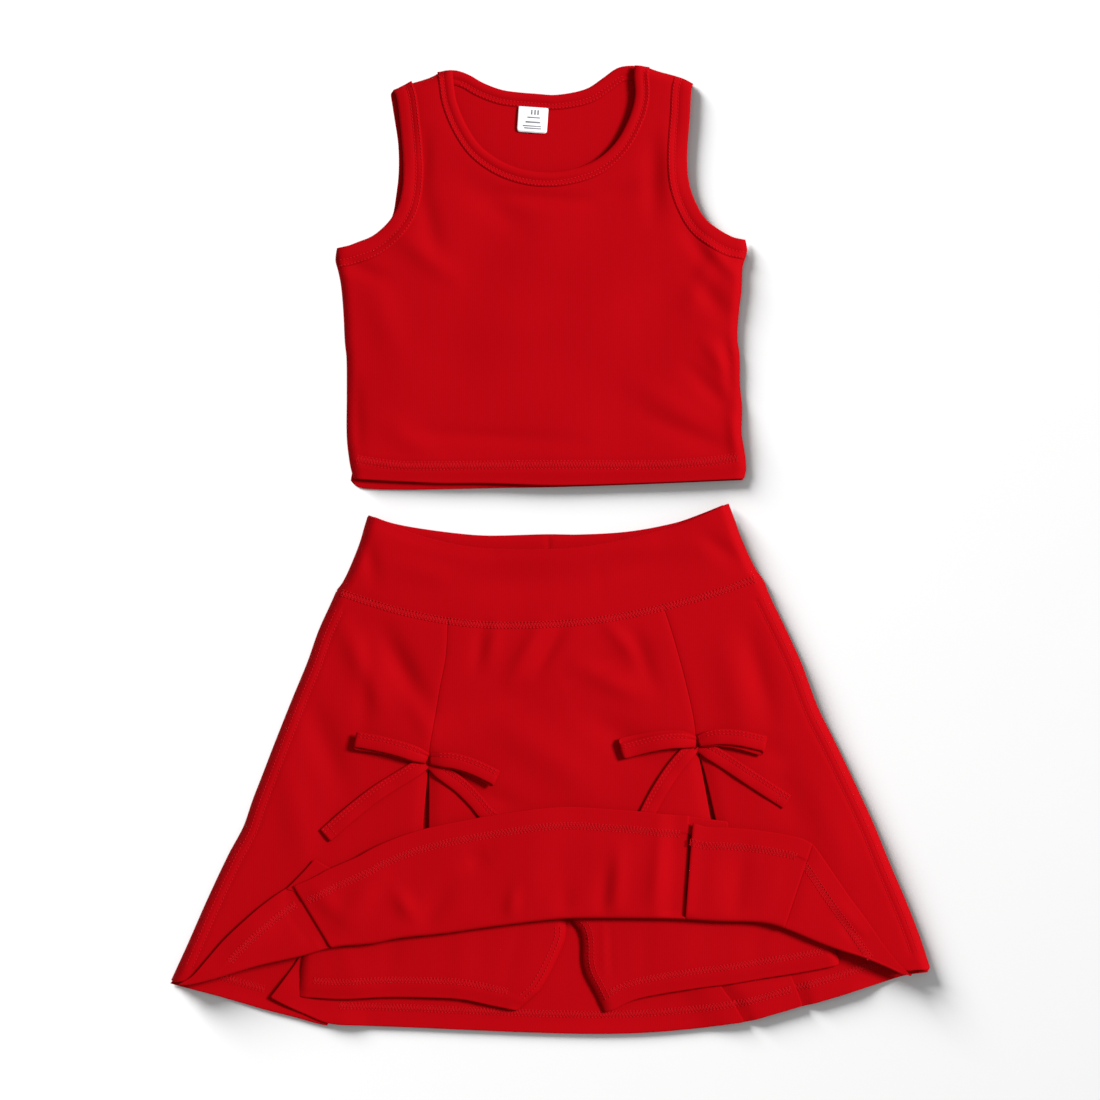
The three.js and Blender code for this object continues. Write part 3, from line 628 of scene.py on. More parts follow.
skirtFolds = [
    (-119, -60, -92, -114, 11, -1.3), (-148, -54, -122, -110, 10, 0.8), (-60, -120, 8, -98, 16, -0.9),
    (-48, -54, -53, -86, 6, -0.45), (-38, -54, -44, -80, 6, 0.35), (-6, -54, -28, -92, 7, 0.7),
    (10, -54, -10, -88, 6, -0.6), (8, -98, 66, -72, 12, -0.8), (22, -84, 64, -104, 10, 0.8),
    (40, -52, 62, -78, 7, 0.5), (-104, -96, -86, -132, 9, 0.6), (-172, -110, -150, -170, 13, -0.8),
    (-190, -150, -176, -220, 13, 0.45), (-130, -66, -134, -128, 8, -0.5), (126, -66, 140, -130, 14, 0.55),
    (142, -60, 158, -120, 10, -0.7), (150, -130, 178, -190, 15, -0.6), (190, -170, 214, -232, 16, 0.5),
    (26, -118, 74, -150, 14, -0.7), (-40, -120, 30, -170, 18, 0.7), (-60, -170, -20, -186, 10, -0.5),
    (-150, -180, -170, -222, 9, -0.2), (150, -150, 168, -160, 10, 0.4), (60, -60, 74, -96, 7, -0.5)]
bandFolds = [(-60, -26, 30, -20, 14, -0.7), (40, -20, 100, -4, 10, -0.6), (-110, -12, -70, -20, 10, 0.4),
             (-30, -2, 70, 6, 8, 0.5), (110, 10, 134, -8, 8, -0.6), (-132, 8, -126, -22, 7, -0.5)]


def skirtHeight(points):
    # the upper face of the front, without its small seams
    look = skirtLook
    y = points[:, 1]
    width = look["edgeWidth"] + (look["lowerEdgeWidth"] - look["edgeWidth"]) * ease((-y - 60) / 220)
    sides = [np.vstack([bandLeft, skirtLeft]), np.vstack([bandRight, skirtRight])]
    away = np.min([nearest(points, side)[0] for side in sides], axis=0)
    full = 1 - (1 - np.clip(away / width, 0, 1)) ** 2.2
    z = look["closedEdge"] + (look["inside"] - look["closedEdge"]) * full
    z += full * (look["foldShare"] * softFolds(points, skirtFolds + bandFolds) + ripple(points, 21, 85, 0.9))
    return z


def frontHeight(points):
    z = skirtHeight(points)
    z += grooves(points, [seamLeft, seamRight], 1.1, skirtLook["seamSink"])
    z += grooves(points, [waistSeam], 3.2, 0.35)
    top = nearest(points, waistFrontEdge)[0]
    z += grooves(points, sideSeamRows, 1.0, 0.5)
    z -= 1.2 * (1 - ease(top / 9)) * ease((z - 2.6) / 6)
    for slit in (slitLeft, slitRight):
        for edge in slit.values():
            z -= 0.9 * np.exp(-(nearest(points, edge)[0] / 5) ** 2)
    return z


def between(share):
    # a ply inside the skort, at a share of the way from the table to the front
    return lambda points: 0.85 + (skirtHeight(points) - 0.85) * share


def cut(line, start, end):
    # the part of a line between the points nearest to start and end
    line = spaced(line, 1.0)
    i, j = (int(np.argmin(np.hypot(*(line - np.array(p)).T))) for p in (start, end))
    return line[i:j + 1] if i <= j else line[j:i + 1][::-1]


# ---- Waistband ----

waistbandFront = clothSheet("waistband_front", [waistSeam, bandRight[::-1], waistFrontEdge[::-1], bandLeft],
                            frontHeight, skirtLook, "skort",
                            ["waistband_front", "waistband_left_fold", "waistband_right_fold"],
                            rests=["waistband_back"])
hiddenLook = dict(skirtLook, step=7, rimStep=4)
insetBand = [beside(waistSeam, 1.0)[2:-2], beside(bandRight[::-1], 2.4)[2:-2], beside(waistFrontEdge[::-1], 1.0)[3:-3],
             beside(bandLeft, 2.4)[2:-2]]
clothSheet("waistband_front_lining", insetBand, between(0.74), hiddenLook, "skort", ["waistband_front_lining"])
insetBack = [beside(waistSeam, 1.0)[2:-2], beside(bandRight[::-1], 2.0)[2:-1], waistBackEdge[::-1][1:-1],
             beside(bandLeft, 2.0)[1:-2]]


def bandBackHeight(points):
    return 0.85 + 0.1 * ripple(points, 3, 50, 1.0) ** 2


clothSheet("waistband_back", insetBack, bandBackHeight, dict(skirtLook, step=5, rimStep=3), "skort", ["waistband_back"])
centreSeam = curveThrough([(-1.4, 10.6), (-0.9, 4), (-0.6, -20), (-0.4, -50)])


def bandLiningHeight(points):
    top = nearest(points, waistBackEdge)[0]
    rise = 1 - (1 - np.clip(top / 2.2, 0, 1)) ** 2
    z = np.minimum(1.3 + 1.1 * rise, 0.9 + (skirtHeight(points) - 0.85) * 0.3)
    return z + grooves(points, [centreSeam], 0.9, 0.5) + 0.25 * ripple(points, 5, 26, 1.0)


clothSheet("waistband_back_lining", insetBack, bandLiningHeight, dict(skirtLook, step=4, rimStep=2.4), "skort",
           ["waistband_back_lining"], [centreSeam])
for name, edge, share in (("waist_elastic_front", waistFrontEdge, 0.86), ("waist_elastic_back", waistBackEdge, 0.1)):
    upper = beside(edge[::-1], 2.0)[6:-6]
    lower = beside(edge[::-1], 31.0)[6:-6]
    clothSheet(name, [upper, lower[::-1]], between(share), dict(hiddenLook, ply=0.5), "skort", [name],
               material=braidedElastic, slotName="elastic")
stitching("waist_seam_stitching",
          [needleRow(waistSeam[2:-3], 2.1, frontHeight, stitchLook, 0.22),
           needleRow(waistSeam[2:-3], -2.1, frontHeight, stitchLook, 0.22),
           looperRow(waistSeam[2:-3], -1.8, 1.8, frontHeight, {"pitch": 2.3}, 0.0)],
          "skort", ["waist_seam_stitching"], 0.34)
print("waistband made")


# ---- Skirt front, pleats and sides ----

foldInset = 3.0  # the front stops this far above the fold, where the turned hem's own roll starts
panelFoot = beside(foldLine, foldInset)
footAt = {"left": slitLeft["left"][-1], "centreStart": slitLeft["right"][-1],
          "centreEnd": slitRight["left"][-1], "right": slitRight["right"][-1]}
clothSheet("skirt_front_left",
           [cut(panelFoot, (-262, -308), footAt["left"]), slitLeft["left"][::-1], seamLeft[::-1],
            cut(waistSeam, seamLeft[0], waistSeam[0]), skirtLeft],
           frontHeight, skirtLook, "skort", ["skirt_front_left", "skirt_left_side_seam"], sideSeamRows[2:], rests=["shorts_left_front"])
clothSheet("skirt_front_centre",
           [cut(panelFoot, footAt["centreStart"], footAt["centreEnd"]), slitRight["left"][::-1], seamRight[::-1],
            cut(waistSeam, seamRight[0], seamLeft[0]), seamLeft, slitLeft["right"]],
           frontHeight, skirtLook, "skort", ["skirt_front_centre"], rests=["shorts_left_front", "shorts_right_front"])
clothSheet("skirt_front_right",
           [cut(panelFoot, footAt["right"], (262, -300)), skirtRight[::-1],
            cut(waistSeam, waistSeam[-1], seamRight[0]), seamRight, slitRight["right"]],
           frontHeight, skirtLook, "skort", ["skirt_front_right", "skirt_right_side_seam"], sideSeamRows[:2], rests=["shorts_right_front"])
for side, foot, tack in (("left", (-92, -276), (-87, -146)), ("right", (128, -266), (105.2, -137))):
    feet = cut(panelFoot, (foot[0] - 30, foot[1]), (foot[0] + 30, foot[1]))
    apex = np.array([[tack[0] + 2, tack[1] + 6], [tack[0] - 2, tack[1] + 6]])
    clothSheet(f"pleat_underlay_{side}", [feet, spaced([feet[-1], apex[0]], 3), spaced([apex[1], feet[0]], 3)],
               between(0.5), dict(skirtLook, step=4, rimStep=3), "skort", [f"pleat_underlay_{side}"])
sideRows = []
for row in sideSeamRows:
    sideRows.append(needleRow(row, 0, frontHeight, stitchLook))
stitching("side_seam_stitching", sideRows, "skort", (), 0.3)
print("skirt front made")


# ---- The turned-up hem ----
# Each stretch is one ply that leaves the front under the fold, rolls round it and lies back over the skirt, wrong side
# up.

turnLook = {"ply": 0.8, "lowerSide": 10.05, "allowance": 12.5, "allowanceStep": 0.45, "columnStep": 1.7,
            "blendStart": 11.0, "blendEnd": 12.6,
            "shares": [0.02, 0.06, 0.12, 0.2, 0.29, 0.38, 0.47, 0.56, 0.64, 0.71]}
turned = {
    "left": {"level": 13.7, "fold": [(-266, -311), (-157, -285.4)],
             "hem": [(-263.5, -310), (-256, -305.4), (-246, -294), (-233, -279), (-221, -267.6), (-209, -257), (-197, -247.8),
                     (-187, -241.4), (-180, -237.2)],
             "folds": [(-230, -292, -196, -262, 10, 0.6), (-190, -244, -172, -280, 6, -0.4)]},
    "centre": {"level": 15.6, "fold": [(-156, -284.8), (97.2, -264.6)],
               "hem": [(-183.4, -240.6), (-176, -237.6), (-168, -233.8), (-159.8, -229.3), (-147.9, -224.1),
                       (-136.8, -219.2), (-126.7, -213.5), (-111, -206.6), (-95, -201.2), (-79, -197.2),
                       (-63.4, -194), (-31.7, -188.6), (-7.2, -185.2), (13, -184), (40, -185.4), (63.4, -187.2),
                       (79.2, -189), (92, -190), (99.5, -190.6)],
               "folds": [(-150, -270, -124, -236, 11, 0.9), (-92, -270, -72, -240, 9, -0.7), (-98, -262, -110, -246, 8, 0.9),
                         (-60, -226, -44, -218, 8, -0.8), (-20, -256, 0, -204, 16, 0.5), (46, -264, 50, -214, 8, 0.8),
                         (36, -262, 42, -226, 7, -0.55), (8, -264, 14, -240, 9, -0.6), (74, -258, 80, -204, 8, 0.7),
                         (-170, -242, -150, -262, 9, 0.6), (-30, -262, -24, -244, 6, 0.8)]},
    "right": {"level": 15.9, "fold": [(97, -264.8), (167, -271)],
              "hem": [(102.4, -195.4), (111.5, -198.1), (126.7, -198.6), (151.2, -201), (170.6, -204.3), (180, -206.6), (187.6, -210.4)],
              "folds": [(132, -266, 138, -214, 10, -0.7), (114, -262, 118, -214, 9, 0.25), (154, -262, 162, -220, 9, 0.25)]},
    "corner": {"level": 14.1, "fold": [(167, -271), (259.5, -305)],
               "hem": [(187.8, -210.6), (191.6, -215.6), (196.5, -222.6), (204, -233.6), (212.4, -245.9),
                       (226.6, -265.2), (239, -283.3), (249, -296), (257.4, -304)],
               "folds": [(204, -250, 220, -278, 8, 0.4), (206, -262, 226, -286, 6, -0.6)]},
}
pleatTuck = {"lip": 0.9}
pleatEnd = np.array([(99.5, -190.6), (98.4, -234), (97.2, -264.6)], float)
centreEnd = np.array([(-183.4, -240.6), (-168.2, -265.3), (-155, -284)], float)
cornerCrease = np.array([(187.7, -210.5), (178, -238), (167, -271)], float)
rightEnd = np.array([(102.4, -195.4), (99.4, -219.2), (97, -264.8)], float)


def turnedPieces(name, part):
    look = turnLook
    fold = cut(foldLine, *part["fold"])
    hem = curveThrough(part["hem"])
    columns = int(lengthOf(hem) / look["columnStep"]) + 2
    fold, hem = spaced(fold, count=columns), spaced(hem, count=columns)
    reach = np.linalg.norm(hem - fold, axis=1, keepdims=True)
    way = (hem - fold) / reach
    radius = (part["level"] - look["lowerSide"]) / 2
    middle = look["lowerSide"] + radius
    inset = np.minimum(radius, reach[:, 0] * 0.3)[:, None]
    rows = []
    for ahead in (foldInset + 0.6, foldInset * 0.7 + 0.4):
        rows.append(np.column_stack([fold + way * np.minimum(ahead, reach * 0.6), np.full(columns, look["lowerSide"])]))
    for turn in np.linspace(-np.pi / 2, np.pi / 2, 9):
        flat = fold + way * inset * (1 - np.cos(turn))
        rows.append(np.column_stack([flat, np.full(columns, middle + radius * np.sin(turn))]))
    start = fold + way * inset
    hemGap = look["allowance"]
    # rows: evenly up to the hem's allowance, then closer over its step and to the edge
    free = np.maximum(reach[:, 0] - inset[:, 0] - hemGap - 1.4, 0.3 * reach[:, 0])
    for share in np.linspace(0, 1, 16)[1:]:
        rows.append(np.column_stack([start + way * (free * share)[:, None], np.full(columns, part["level"])]))
    rest = reach[:, 0] - inset[:, 0] - free
    for share in (0.06, 0.11, 0.16, 0.24, 0.34, 0.45, 0.56, 0.67, 0.78, 0.88, 0.95, 1.0):
        rows.append(np.column_stack([start + way * (free + rest * share)[:, None], np.full(columns, part["level"])]))
    points = np.array(rows)
    upper = points[10:]
    flat = upper[:, :, :2].reshape(-1, 2)
    upper[:, :, 2] = turnedHeight(flat, part, hem, fold).reshape(upper.shape[:2])
    points[10:] = upper
    count = len(rows)
    points = points.reshape(-1, 3)
    faces = [(i * columns + j, i * columns + j + 1, (i + 1) * columns + j + 1, (i + 1) * columns + j)
             for i in range(count - 1) for j in range(columns - 1)]
    solid, solidFaces = thickened(points, faces, look["ply"])
    body = f"turned_hem_{name}"
    piece = makePiece(f"turned_hem_{name}", solid, solidFaces, brushedJersey, None, [body])
    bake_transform(piece)
    outline = np.vstack([fold, hem[::-1]])
    size = outline.max(0) - outline.min(0)
    sheets.append([piece, size * mm, abs(area(outline)) * mm * mm + lengthOf(fold) * 6 * mm * mm, ["skirt_front_centre"]])
    return fold, hem


def turnedHeight(points, part, hem, fold):
    away = nearest(points, hem)[0]
    near = ease(nearest(points, fold)[0] / 10)
    z = part["level"] + near * (2.4 * softFolds(points, part["folds"]) + ripple(points, 31, 60, 0.5))
    z += turnLook["allowanceStep"] * (1 - ease((away - turnLook["allowance"] + 0.6) / 1.2)) * near
    x = points[:, 0]
    if part is turned["centre"]:
        z -= 0.6 * ease((24 - nearest(points, centreEnd)[0]) / 20) * near + 2.2 * ease((23 - nearest(points, pleatEnd)[0]) / 15)
    if part is turned["right"]:
        z += pleatTuck["lip"] * np.exp(-(nearest(points, rightEnd)[0] / 7) ** 2) * (0.4 + 0.6 * near)
    if part is turned["left"]:
        z -= 1.0 * ease((9 - nearest(points, centreEnd)[0]) / 5)
    if part is turned["corner"]:
        z -= 2.2 * ease((x - 200) / 50)
        z -= 0.5 * np.exp(-(nearest(points, cornerCrease)[0] / 5) ** 2) * near
    return np.maximum(z, 13.35 + 0 * z)


for name, part in turned.items():
    fold, hem = turnedPieces(name, part)
    height = lambda points, part=part, hem=hem, fold=fold: turnedHeight(points, part, hem, fold)
    last = len(hem) - 1
    ends = {"left": (20, last - 5), "centre": (3, last - 2), "right": (1, last - 3), "corner": (3, last - 14)}[name]
    band = hem[ends[0]:ends[1]]
    rows = [needleRow(band, -11.0, height, stitchLook), needleRow(band, -15.4, height, stitchLook),
            looperRow(band, -11.2, -15.2, height, {"pitch": 2.3})]
    stitching(f"turned_hem_{name}_stitching", rows, f"turned_hem_{name}", (), 0.3)


def tuckedHeight(points):
    return 13.75 + 0 * points[:, 0]


# the plies that the pleats tuck behind the turned stretches, of which only the ends show
tuckedParts = {
    "turned_hem_pleat_left": ("turned_hem_left", [(-189, -243), (-184.3, -238.6), (-175, -229), (-168.6, -221.4), (-160, -226.6),
                                                  (-148, -232), (-158, -243), (-176, -246)]),
    "turned_hem_pleat_right": ("turned_hem_centre", [(86, -189.8), (103, -191.2), (116, -193.2), (127.4, -194.6), (127, -207),
                                                     (104, -204), (86, -202)])}
for name, (body, outline) in tuckedParts.items():
    closedLine = np.array(outline + outline[:1], float)
    clothSheet(name, [spaced(closedLine, 1.5)[:-1]], tuckedHeight, {"ply": 0.6, "step": 4, "rimStep": 2}, body)
print("turned hem made")


# ---- Skirt back, with the pleats folded at its hem ----

backHeel = {"ply": 0.7, "step": 5.0, "rimStep": 2.6}
backLeftHem = [(-273, -311.6), (-257, -315.9), (-239, -320.6), (-221, -325.8), (-203, -331), (-185, -335.5), (-170, -339.9), (-160.6, -342.2)]
backCentreHem = [(-200.9, -321.5), (-190, -327), (-176, -333.4), (-158.4, -340.2), (-136.8, -341.8), (-100, -343.2), (-60, -345),
                 (-10, -347), (36, -347.9), (72, -346.8), (108, -343.6), (139.6, -339.2)]
backMidHem = [(118, -341.2), (141, -339), (163, -333), (181.4, -327.6)]
backRightHem = [(166, -331), (181.4, -328), (203.8, -321.8), (223.2, -315.7), (240, -310.4), (255.6, -305.8), (272.6, -303.6)]
backCentreLeft = curveThrough([(-150, -240), (-168, -270), (-180.7, -293.7), (-192, -310), (-200.9, -321.5)])
backCentreRight = curveThrough([(139.6, -339.2), (131, -325), (124.1, -315.6), (114, -298), (104, -276)])
backMidRight = curveThrough([(181.4, -327.6), (178, -318), (173.4, -306.7), (164, -286), (152, -262)])


def rightOf(points, line):
    order = np.argsort(line[:, 1])
    return points[:, 0] - np.interp(points[:, 1], line[order, 1], line[order, 0])


def backHeight(tuckedUnder=None, liftedAt=()):
    # flat on the table with a slight curl at its hem; it dips where it runs under a pleat and
    # stands up at its own pleat's edge
    def height(points):
        z = 0.85 + 0.12 * ripple(points, 8, 60, 1.0) ** 2
        below = ease((-points[:, 1] - 303) / 12)
        z = z + 1.5 * (1 - ease(nearest(points, backHemLine)[0] / 9)) * below
        if tuckedUnder is not None:
            z = z + 2.4 * ease(rightOf(points, tuckedUnder) / 11) * (1 - ease((points[:, 0] - 215) / 25)) * below
        for edge in liftedAt:
            z = z + 2.0 * (1 - ease((nearest(points, edge)[0] - 8) / 22))
        return z
    return height


backHemLine = curveThrough(backLeftHem[:-2] + backCentreHem[4:] + backRightHem[1:])
pleatHem = np.array(backCentreHem[:4], float)
backParts = {
    "skirt_back": ([curveThrough(backCentreHem), backCentreRight, spaced([(104, -276), (104, -262)], 4),
                    spaced([(220, -262), (246, -258)], 4), beside(skirtRight[::-1], 2.0)[14:-2],
                    beside(waistSeam[::-1], 1.0)[3:-3], beside(skirtLeft, 2.0)[2:-14], spaced([(-244, -260), (-160, -256)], 4),
                    backCentreLeft[4:]], backHeight(None, [backCentreLeft, pleatHem, backCentreRight])),
    "skirt_back_left": ([curveThrough(backLeftHem), [(-159.4, -341.2)], spaced([(-160.5, -338), (-170, -324), (-166, -276)], 4),
                         spaced([(-176, -262), (-240, -262)], 4), beside(skirtLeft, 1.4)[-24:]], backHeight()),
    "skirt_back_mid": ([curveThrough(backMidHem), backMidRight, spaced([(150, -262), (88, -262)], 4),
                        spaced([(92, -276), (112, -320)], 4)], backHeight(backCentreRight)),
    "skirt_back_right": ([curveThrough(backRightHem), beside(skirtRight[::-1], 1.4)[:16], spaced([(252, -262), (146, -262)], 4),
                          spaced([(142, -270), (160, -318)], 4)], backHeight(backMidRight)),
}
for name, (edges, height) in backParts.items():
    clothSheet(name, edges, height, backHeel, "skort", ["skirt_back"] if name == "skirt_back" else ())
backRows = []
for name, line in (("skirt_back_left", curveThrough(backLeftHem)[12:34]), ("skirt_back", curveThrough(backCentreHem)[26:-2]),
                   ("skirt_back_mid", curveThrough(backMidHem)[2:-2]), ("skirt_back_right", curveThrough(backRightHem)[2:-8])):
    height = backParts[name][1]
    backRows += [needleRow(line, 11.5, height, stitchLook, 0.02), looperRow(line, 11.8, 15.6, height, {"pitch": 2.3}, 0.02),
                 needleRow(line, 15.8, height, stitchLook, 0.02)]
stitching("skirt_back_hem_stitching", backRows, "skort", (), 0.3)
print("skirt back made")


# ---- Shorts ----

legLook = {"ply": 0.75, "step": 3.4, "rimStep": 2.2, "inside": 7.2, "edge": 3.6, "edgeWidth": 6, "hemDroop": 1.4}
legs = {
    "left": {
        "side": curveThrough([(-147.5, -36), (-158, -120), (-168, -200), (-176, -270), (-178.4, -292), (-180, -306), (-181, -320.6)]),
        "hem": curveThrough([(-181, -320.8), (-150, -322.4), (-116, -321), (-84, -321.4), (-63.4, -322.6), (-42, -327), (-23, -331)]),
        "inseam": curveThrough([(-23, -331), (-15, -324), (-7.2, -316.4), (1, -302.4), (7.4, -288.7), (10.6, -280), (11.5, -273), (10.6, -262)]),
        "folds": [(-150, -270, -140, -318, 9, 0.5), (-110, -266, -118, -312, 10, -0.6), (-60, -268, -66, -314, 10, 0.6),
                  (-20, -270, -34, -318, 7, -0.5)]},
    "right": {
        "side": curveThrough([(147.5, -27), (164, -110), (182, -190), (198, -262), (205.2, -286.4), (208.2, -298)]),
        "hem": curveThrough([(39.6, -332.3), (46.8, -329.6), (56.2, -324.8), (64.8, -321.8), (84, -318), (108, -314.4),
                             (130, -311.6), (152, -307.8), (180, -303.4), (208.2, -298)]),
        "inseam": curveThrough([(15.6, -262), (17, -267.6), (22, -274), (23.6, -283.2), (23.8, -294.8), (26, -304.7), (32.4, -317), (39.6, -332.3)]),
        "folds": [(38.5, -266, 39.6, -307, 2.2, 0.9), (42, -266, 44, -308, 2.2, -0.6), (100, -268, 92, -308, 12, 0.5),
                  (150, -270, 146, -302, 10, -0.6), (70, -268, 66, -312, 8, -0.5)]}}
crotch = {"left": [(12.6, -255), (4, -52.4)], "right": [(13.4, -255), (4.6, -52.2)]}
for side, leg in legs.items():
    closing = [leg["side"], leg["inseam"]]
    hemRows = beside(leg["hem"], 12.0)

    def legHeight(points, leg=leg, closing=closing, hemRows=hemRows):
        full = roundedEdge(points, closing, legLook["edgeWidth"])
        z = legLook["edge"] + (legLook["inside"] - legLook["edge"]) * full
        z += full * (softFolds(points, leg["folds"]) + ripple(points, 14, 50, 0.5))
        z -= legLook["hemDroop"] * full * (1 - ease(nearest(points, leg["hem"])[0] / 10))
        z += grooves(points, [hemRows], 2.6, 0.35)
        inside = 0.85 + (skirtHeight(points) - 0.85) * 0.38
        hidden = ease((points[:, 1] + 262) / 16)
        return np.where(hidden > 0, np.minimum(z, inside + (z - inside) * (1 - hidden)), z)

    def legBackHeight(points, closing=closing):
        full = roundedEdge(points, closing, 8)
        inside = 0.85 + (skirtHeight(points) - 0.85) * 0.22
        hidden = ease((points[:, 1] + 262) / 16)
        z = 3.1 - 0.25 * full
        return np.minimum(z, inside + (z - inside) * (1 - hidden))

    waistEnd = leg["side"][0]
    seatSeam = spaced([crotch[side][0], crotch[side][1]], 4)
    waistLine = cut(beside(waistSeam, -2.0), crotch[side][1], waistEnd)
    if side == "left":
        edges = [leg["hem"], leg["inseam"], seatSeam, waistLine, leg["side"]]
    else:
        edges = [leg["hem"], leg["side"][::-1], waistLine[::-1], seatSeam[::-1], leg["inseam"]]
    clothSheet(f"shorts_{side}_front", edges, legHeight, legLook, "skort",
               [f"shorts_{side}_front", f"shorts_{side}_side", f"shorts_{side}_inseam"], [hemRows[4:-4]],
               [f"shorts_{side}_back"])
    clothSheet(f"shorts_{side}_back", edges, legBackHeight, dict(legLook, step=6, rimStep=3.4), "skort",
               [f"shorts_{side}_back"], rests=["skirt_back"])
    hem = leg["hem"]
    stitching(f"shorts_{side}_hem_stitching",
              [needleRow(beside(hem, 0)[5:-5], 10.4, legHeight, stitchLook), needleRow(hem[5:-5], 14.2, legHeight, stitchLook),
               looperRow(hem[5:-5], 10.6, 14.0, legHeight, {"pitch": 2.3})], "skort", [f"shorts_{side}_hem_stitching"], 0.3)
    inner = leg["inseam"] if side == "left" else leg["inseam"][::-1]
    stitching(f"shorts_{side}_inseam_stitching",
              [needleRow(inner[4:-4], offset if side == "left" else -offset, legHeight, stitchLook) for offset in (4.2, 7.6)],
              "skort", (), 0.3)
print("shorts made")


# ---- Bows ----

bowLook = {"width": 11.2, "thickness": 1.15, "pinched": 8.2, "pinchReach": 11, "tailLift": 1.9, "loopLift": 4.7,
           "loopGap": 1.4}
bows = {
    "left_bow_left_loop": {"line": [(-87.8, -149.2), (-99, -144.8), (-110.5, -141.1), (-123, -138.2), (-137.4, -135.6)], "loop": -2.2},
    "left_bow_right_loop": {"line": [(-86.2, -149.6), (-75, -149.8), (-65.5, -151.4), (-53, -155.6), (-39.6, -162.2)], "loop": -2.0},
    "right_bow_left_loop": {"line": [(104.4, -137.4), (92, -136.2), (82.1, -137), (68, -139.8), (53, -143.8)], "loop": 4.0},
    "right_bow_right_loop": {"line": [(106, -137), (115, -134.2), (123.1, -133.4), (137, -134.6), (152.6, -138.2)], "loop": -3.6},
    "left_bow_left_tail": {"line": [(-87.8, -151.8), (-104, -161.6), (-124.6, -174.6), (-143, -189), (-161, -204.6)]},
    "left_bow_right_tail": {"line": [(-86.2, -152.8), (-74, -161.4), (-63.4, -169.6), (-53, -180), (-45.4, -189), (-33, -198), (-21, -204)]},
    "right_bow_left_tail": {"line": [(104.4, -140), (95, -149.4), (86.4, -160.2), (77, -175), (70.6, -187.2), (65, -199), (60, -207)]},
    "right_bow_right_tail": {"line": [(106.4, -140.6), (117, -146), (126, -151.6), (147.6, -166), (170, -180.6)]},
}
stripProfile = [(-1, -0.25), (-0.9, -0.5), (-0.5, -0.5), (0, -0.5), (0.5, -0.5), (0.9, -0.5), (1, -0.2), (1, 0.2),
                (0.93, 0.44), (0.82, 0.5), (0.7, 0.36), (0.58, 0.5), (0.44, 0.5), (0.32, 0.36), (0.2, 0.52), (-0.1, 0.6),
                (-0.5, 0.58), (-0.85, 0.5), (-0.97, 0.25)]


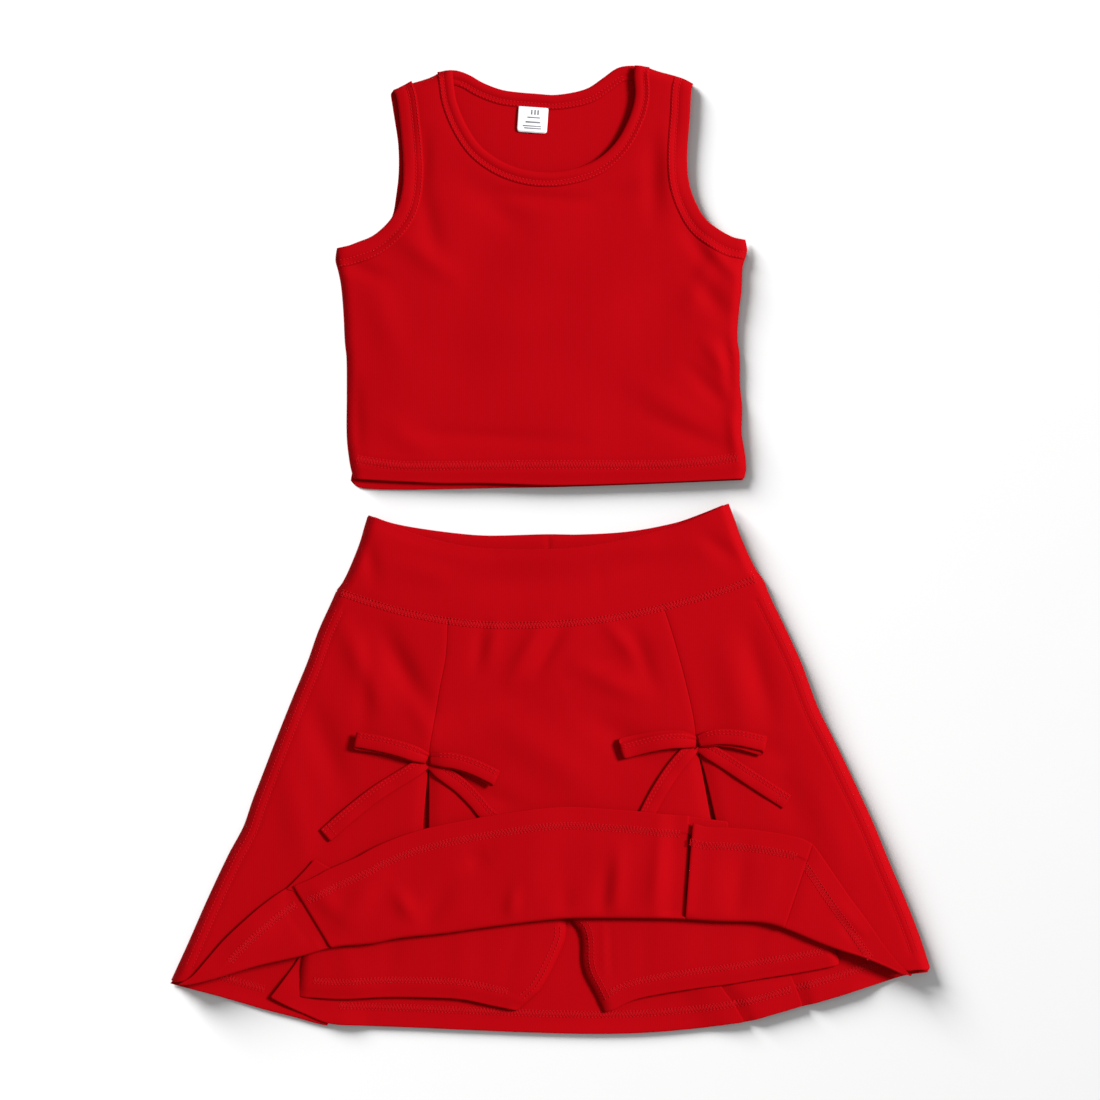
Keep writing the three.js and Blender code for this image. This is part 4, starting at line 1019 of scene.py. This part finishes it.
def bowStrip(name, bow):
    look = bowLook
    line = curveThrough(bow["line"], 1.6)
    tack = line[0]
    sideways = leftOf(line)
    if line[-1][0] < line[0][0]:
        sideways = -sideways  # the stitched edge is the upper one on either side of the bow
    ground = frontHeight(line)
    if "loop" in bow:
        offset = np.linspace(0, 1, len(line)) ** 0.7 * bow["loop"]
        low = np.column_stack([line + sideways * offset[:, None] * 1.0, ground + look["loopLift"] - 0.9])
        apart = 0.4 + 0.6 * ease(np.hypot(*(line - tack).T) / 16)  # the two plies come together at the tack
        high = np.column_stack([line, ground + look["loopLift"] - 0.9 + (0.9 + look["loopGap"]) * apart])
        arch = np.sin(np.linspace(0, 1, len(line)) * np.pi * 0.9) * 0.8
        high[:, 2] += arch
        end = line[-1] - line[-2]
        end /= np.linalg.norm(end)
        turn = np.linspace(-np.pi / 2, np.pi / 2, 7)[1:-1]
        mid = (low[-1] + high[-1]) / 2
        half = (high[-1] - low[-1]) / 2
        bend = [mid + half * np.sin(t) + np.append(end, 0) * 1.6 * np.cos(t) for t in turn]
        path = np.vstack([low, bend, high[::-1]])
        across = np.vstack([sideways, np.repeat(sideways[-1:], len(bend), 0), sideways[::-1]])
    else:
        path = np.column_stack([line, ground + look["tailLift"]])
        path[:, 2] += 0.35 * np.sin(np.linspace(0, 3.2 * np.pi, len(line))) ** 2
        path[:, 2] -= 0.3 * np.exp(-np.arange(len(line)) * 1.6 / 7)
        across = sideways
    run = np.hypot(*(path[:, :2] - tack).T)
    width = look["pinched"] + (look["width"] - look["pinched"]) * ease(run / look["pinchReach"]) ** 0.8
    along = np.gradient(path, axis=0)
    along /= np.linalg.norm(along, axis=1, keepdims=True)
    flat = np.column_stack([across, np.zeros(len(across))])
    normal = np.cross(along, flat)
    normal /= np.linalg.norm(normal, axis=1, keepdims=True)
    facing = 1 if normal[-1][2] > 0 else -1  # the shown side, which is up on the last stretch
    normal *= facing
    points = []
    for i in range(len(path)):
        for x, z in stripProfile:
            crumple = 0.35 * np.cos(x * 9) * np.exp(-run[i] / 8)
            points.append(path[i] + flat[i] * x * width[i] / 2 + normal[i] * (z * look["thickness"] + crumple))
    k, n = len(stripProfile), len(path)
    faces = [(i * k + j, i * k + (j + 1) % k, (i + 1) * k + (j + 1) % k, (i + 1) * k + j) for i in range(n - 1) for j in range(k)]
    faces += [tuple(range(k - 1, -1, -1)), tuple((n - 1) * k + j for j in range(k))]
    if facing < 0:
        faces = [tuple(reversed(f)) for f in faces]
    piece = makePiece(name, points, faces, brushedJersey, name, [name])
    shown = path[-len(line):]
    if "loop" in bow:
        shown = shown[::-1]
    threads = []
    for share in (0.76, 0.38):
        row = shown + np.column_stack([sideways * (width[:len(line)] / 2 * share)[:, None], np.full(len(line), look["thickness"] * 0.4)])
        row = spaced(row[4:], count=8 * int(lengthOf(row[4:]) / 2.8) + 1)
        for i in range((len(row) - 1) // 8):
            part = row[i * 8 + 1:i * 8 + 8:2].copy()
            part[:, 2] += [-0.1, 0.18, 0.18, -0.1]
            threads.append(part)
    if "loop" not in bow:
        end, side = shown[-5], np.append(sideways[-5], 0)
        across = np.array([end + side * s * look["width"] * 0.42 + [0, 0, look["thickness"] * 0.55 + 0.1] for s in np.linspace(-1, 1, 33)])
        for i in range(4):
            part = across[i * 8 + 1:i * 8 + 8:2].copy()
            part[:, 2] += [-0.15, 0.1, 0.1, -0.15]
            threads.append(part)
    stitching(name + "_stitching", [threads], name, (), 0.28)
    return piece


for name, bow in bows.items():
    bowStrip(name, bow)
for side, (x, y) in (("left", (-87, -150)), ("right", (105.2, -139.6))):
    base = float(frontHeight(np.array([[x, y]]))[0])
    wraps = []
    for i in range(4):
        rise = -2.8 + i * 1.4
        wraps.append([(x - 1.1, y + rise, base + 0.5), (x - 0.9, y + rise + 0.3, base + 4.2), (x + 0.9, y + rise + 0.6, base + 4.2),
                      (x + 1.1, y + rise + 0.8, base + 0.5)])
    stitching(f"{side}_bow_tack", [wraps], "skort", [f"{side}_bow_tack"], 0.35)
print("bows made")


# ---- Cloth sheets: each one's width, length and share of its cut size that the cloth fills, not used further ----

for piece, size, flatArea, rests in sheets:
    width, length = float(size[0]), float(size[1])
    share = flatArea / (width * length)


# ---- Table, lights and camera ----

tableWhite = clothMaterial("matt_white_board", {
    "dark": "#EAEAEA", "light": "#ECECEC", "driftMm": 300, "rowMm": 40, "turn": 0.0, "wobble": 1.0,
    "fuzzMm": 6, "rowDepth": 0.0, "fuzzDepth": 0.02, "roughness": 0.9, "ior": 1.45,
    "sheen": 0.0, "sheenTint": "#FFFFFF", "specular": 0.1})
reach = 3000
table = makePiece("table", [(-reach, -reach, -0.2), (reach, -reach, -0.2), (reach, reach, -0.2), (-reach, reach, -0.2)],
                  [(0, 1, 2, 3)], tableWhite)

world = bpy.data.worlds.new("studio")
bpy.context.scene.world = world
world.use_nodes = True
world.node_tree.nodes["Background"].inputs["Color"].default_value = hexToLinear("#FFFFFF")
world.node_tree.nodes["Background"].inputs["Strength"].default_value = 0.36


def areaLight(name, place, size, power):
    data = bpy.data.lights.new(name, "AREA")
    data.shape = "DISK"
    data.size = size
    data.energy = power
    lamp = bpy.data.objects.new(name, data)
    lamp.location = place
    lamp.rotation_euler = (-Vector(place)).to_track_quat("-Z", "Y").to_euler()
    bpy.context.collection.objects.link(lamp)
    return lamp


# the cloth is lit from the right, which shades its folds; the board under it has its own light
# from the upper left, so that the whole garment's soft shadow falls to the lower right
key = areaLight("key_softbox", (4.4, 1.9, 4.6), 1.9, 600)
boardLight = areaLight("board_softbox", (-5.0, 5.0, 2.6), 3.4, 1540)
for lamp, state in ((key, "EXCLUDE"), (boardLight, "INCLUDE")):
    lit = bpy.data.collections.new(lamp.name + "_receivers")
    lit.objects.link(table)
    lit.collection_objects[0].light_linking.link_state = state
    lamp.light_linking.receiver_collection = lit

camera = bpy.data.objects.new("camera", bpy.data.cameras.new("camera"))
camera.data.sensor_width = 36
camera.data.lens = 36 * 2.5 / 0.792  # 0.792 m across at 2.5 m
camera.location = (0, 0, 2.5)
bpy.context.collection.objects.link(camera)
bpy.context.scene.camera = camera
bpy.context.scene.view_settings.view_transform = "Standard"
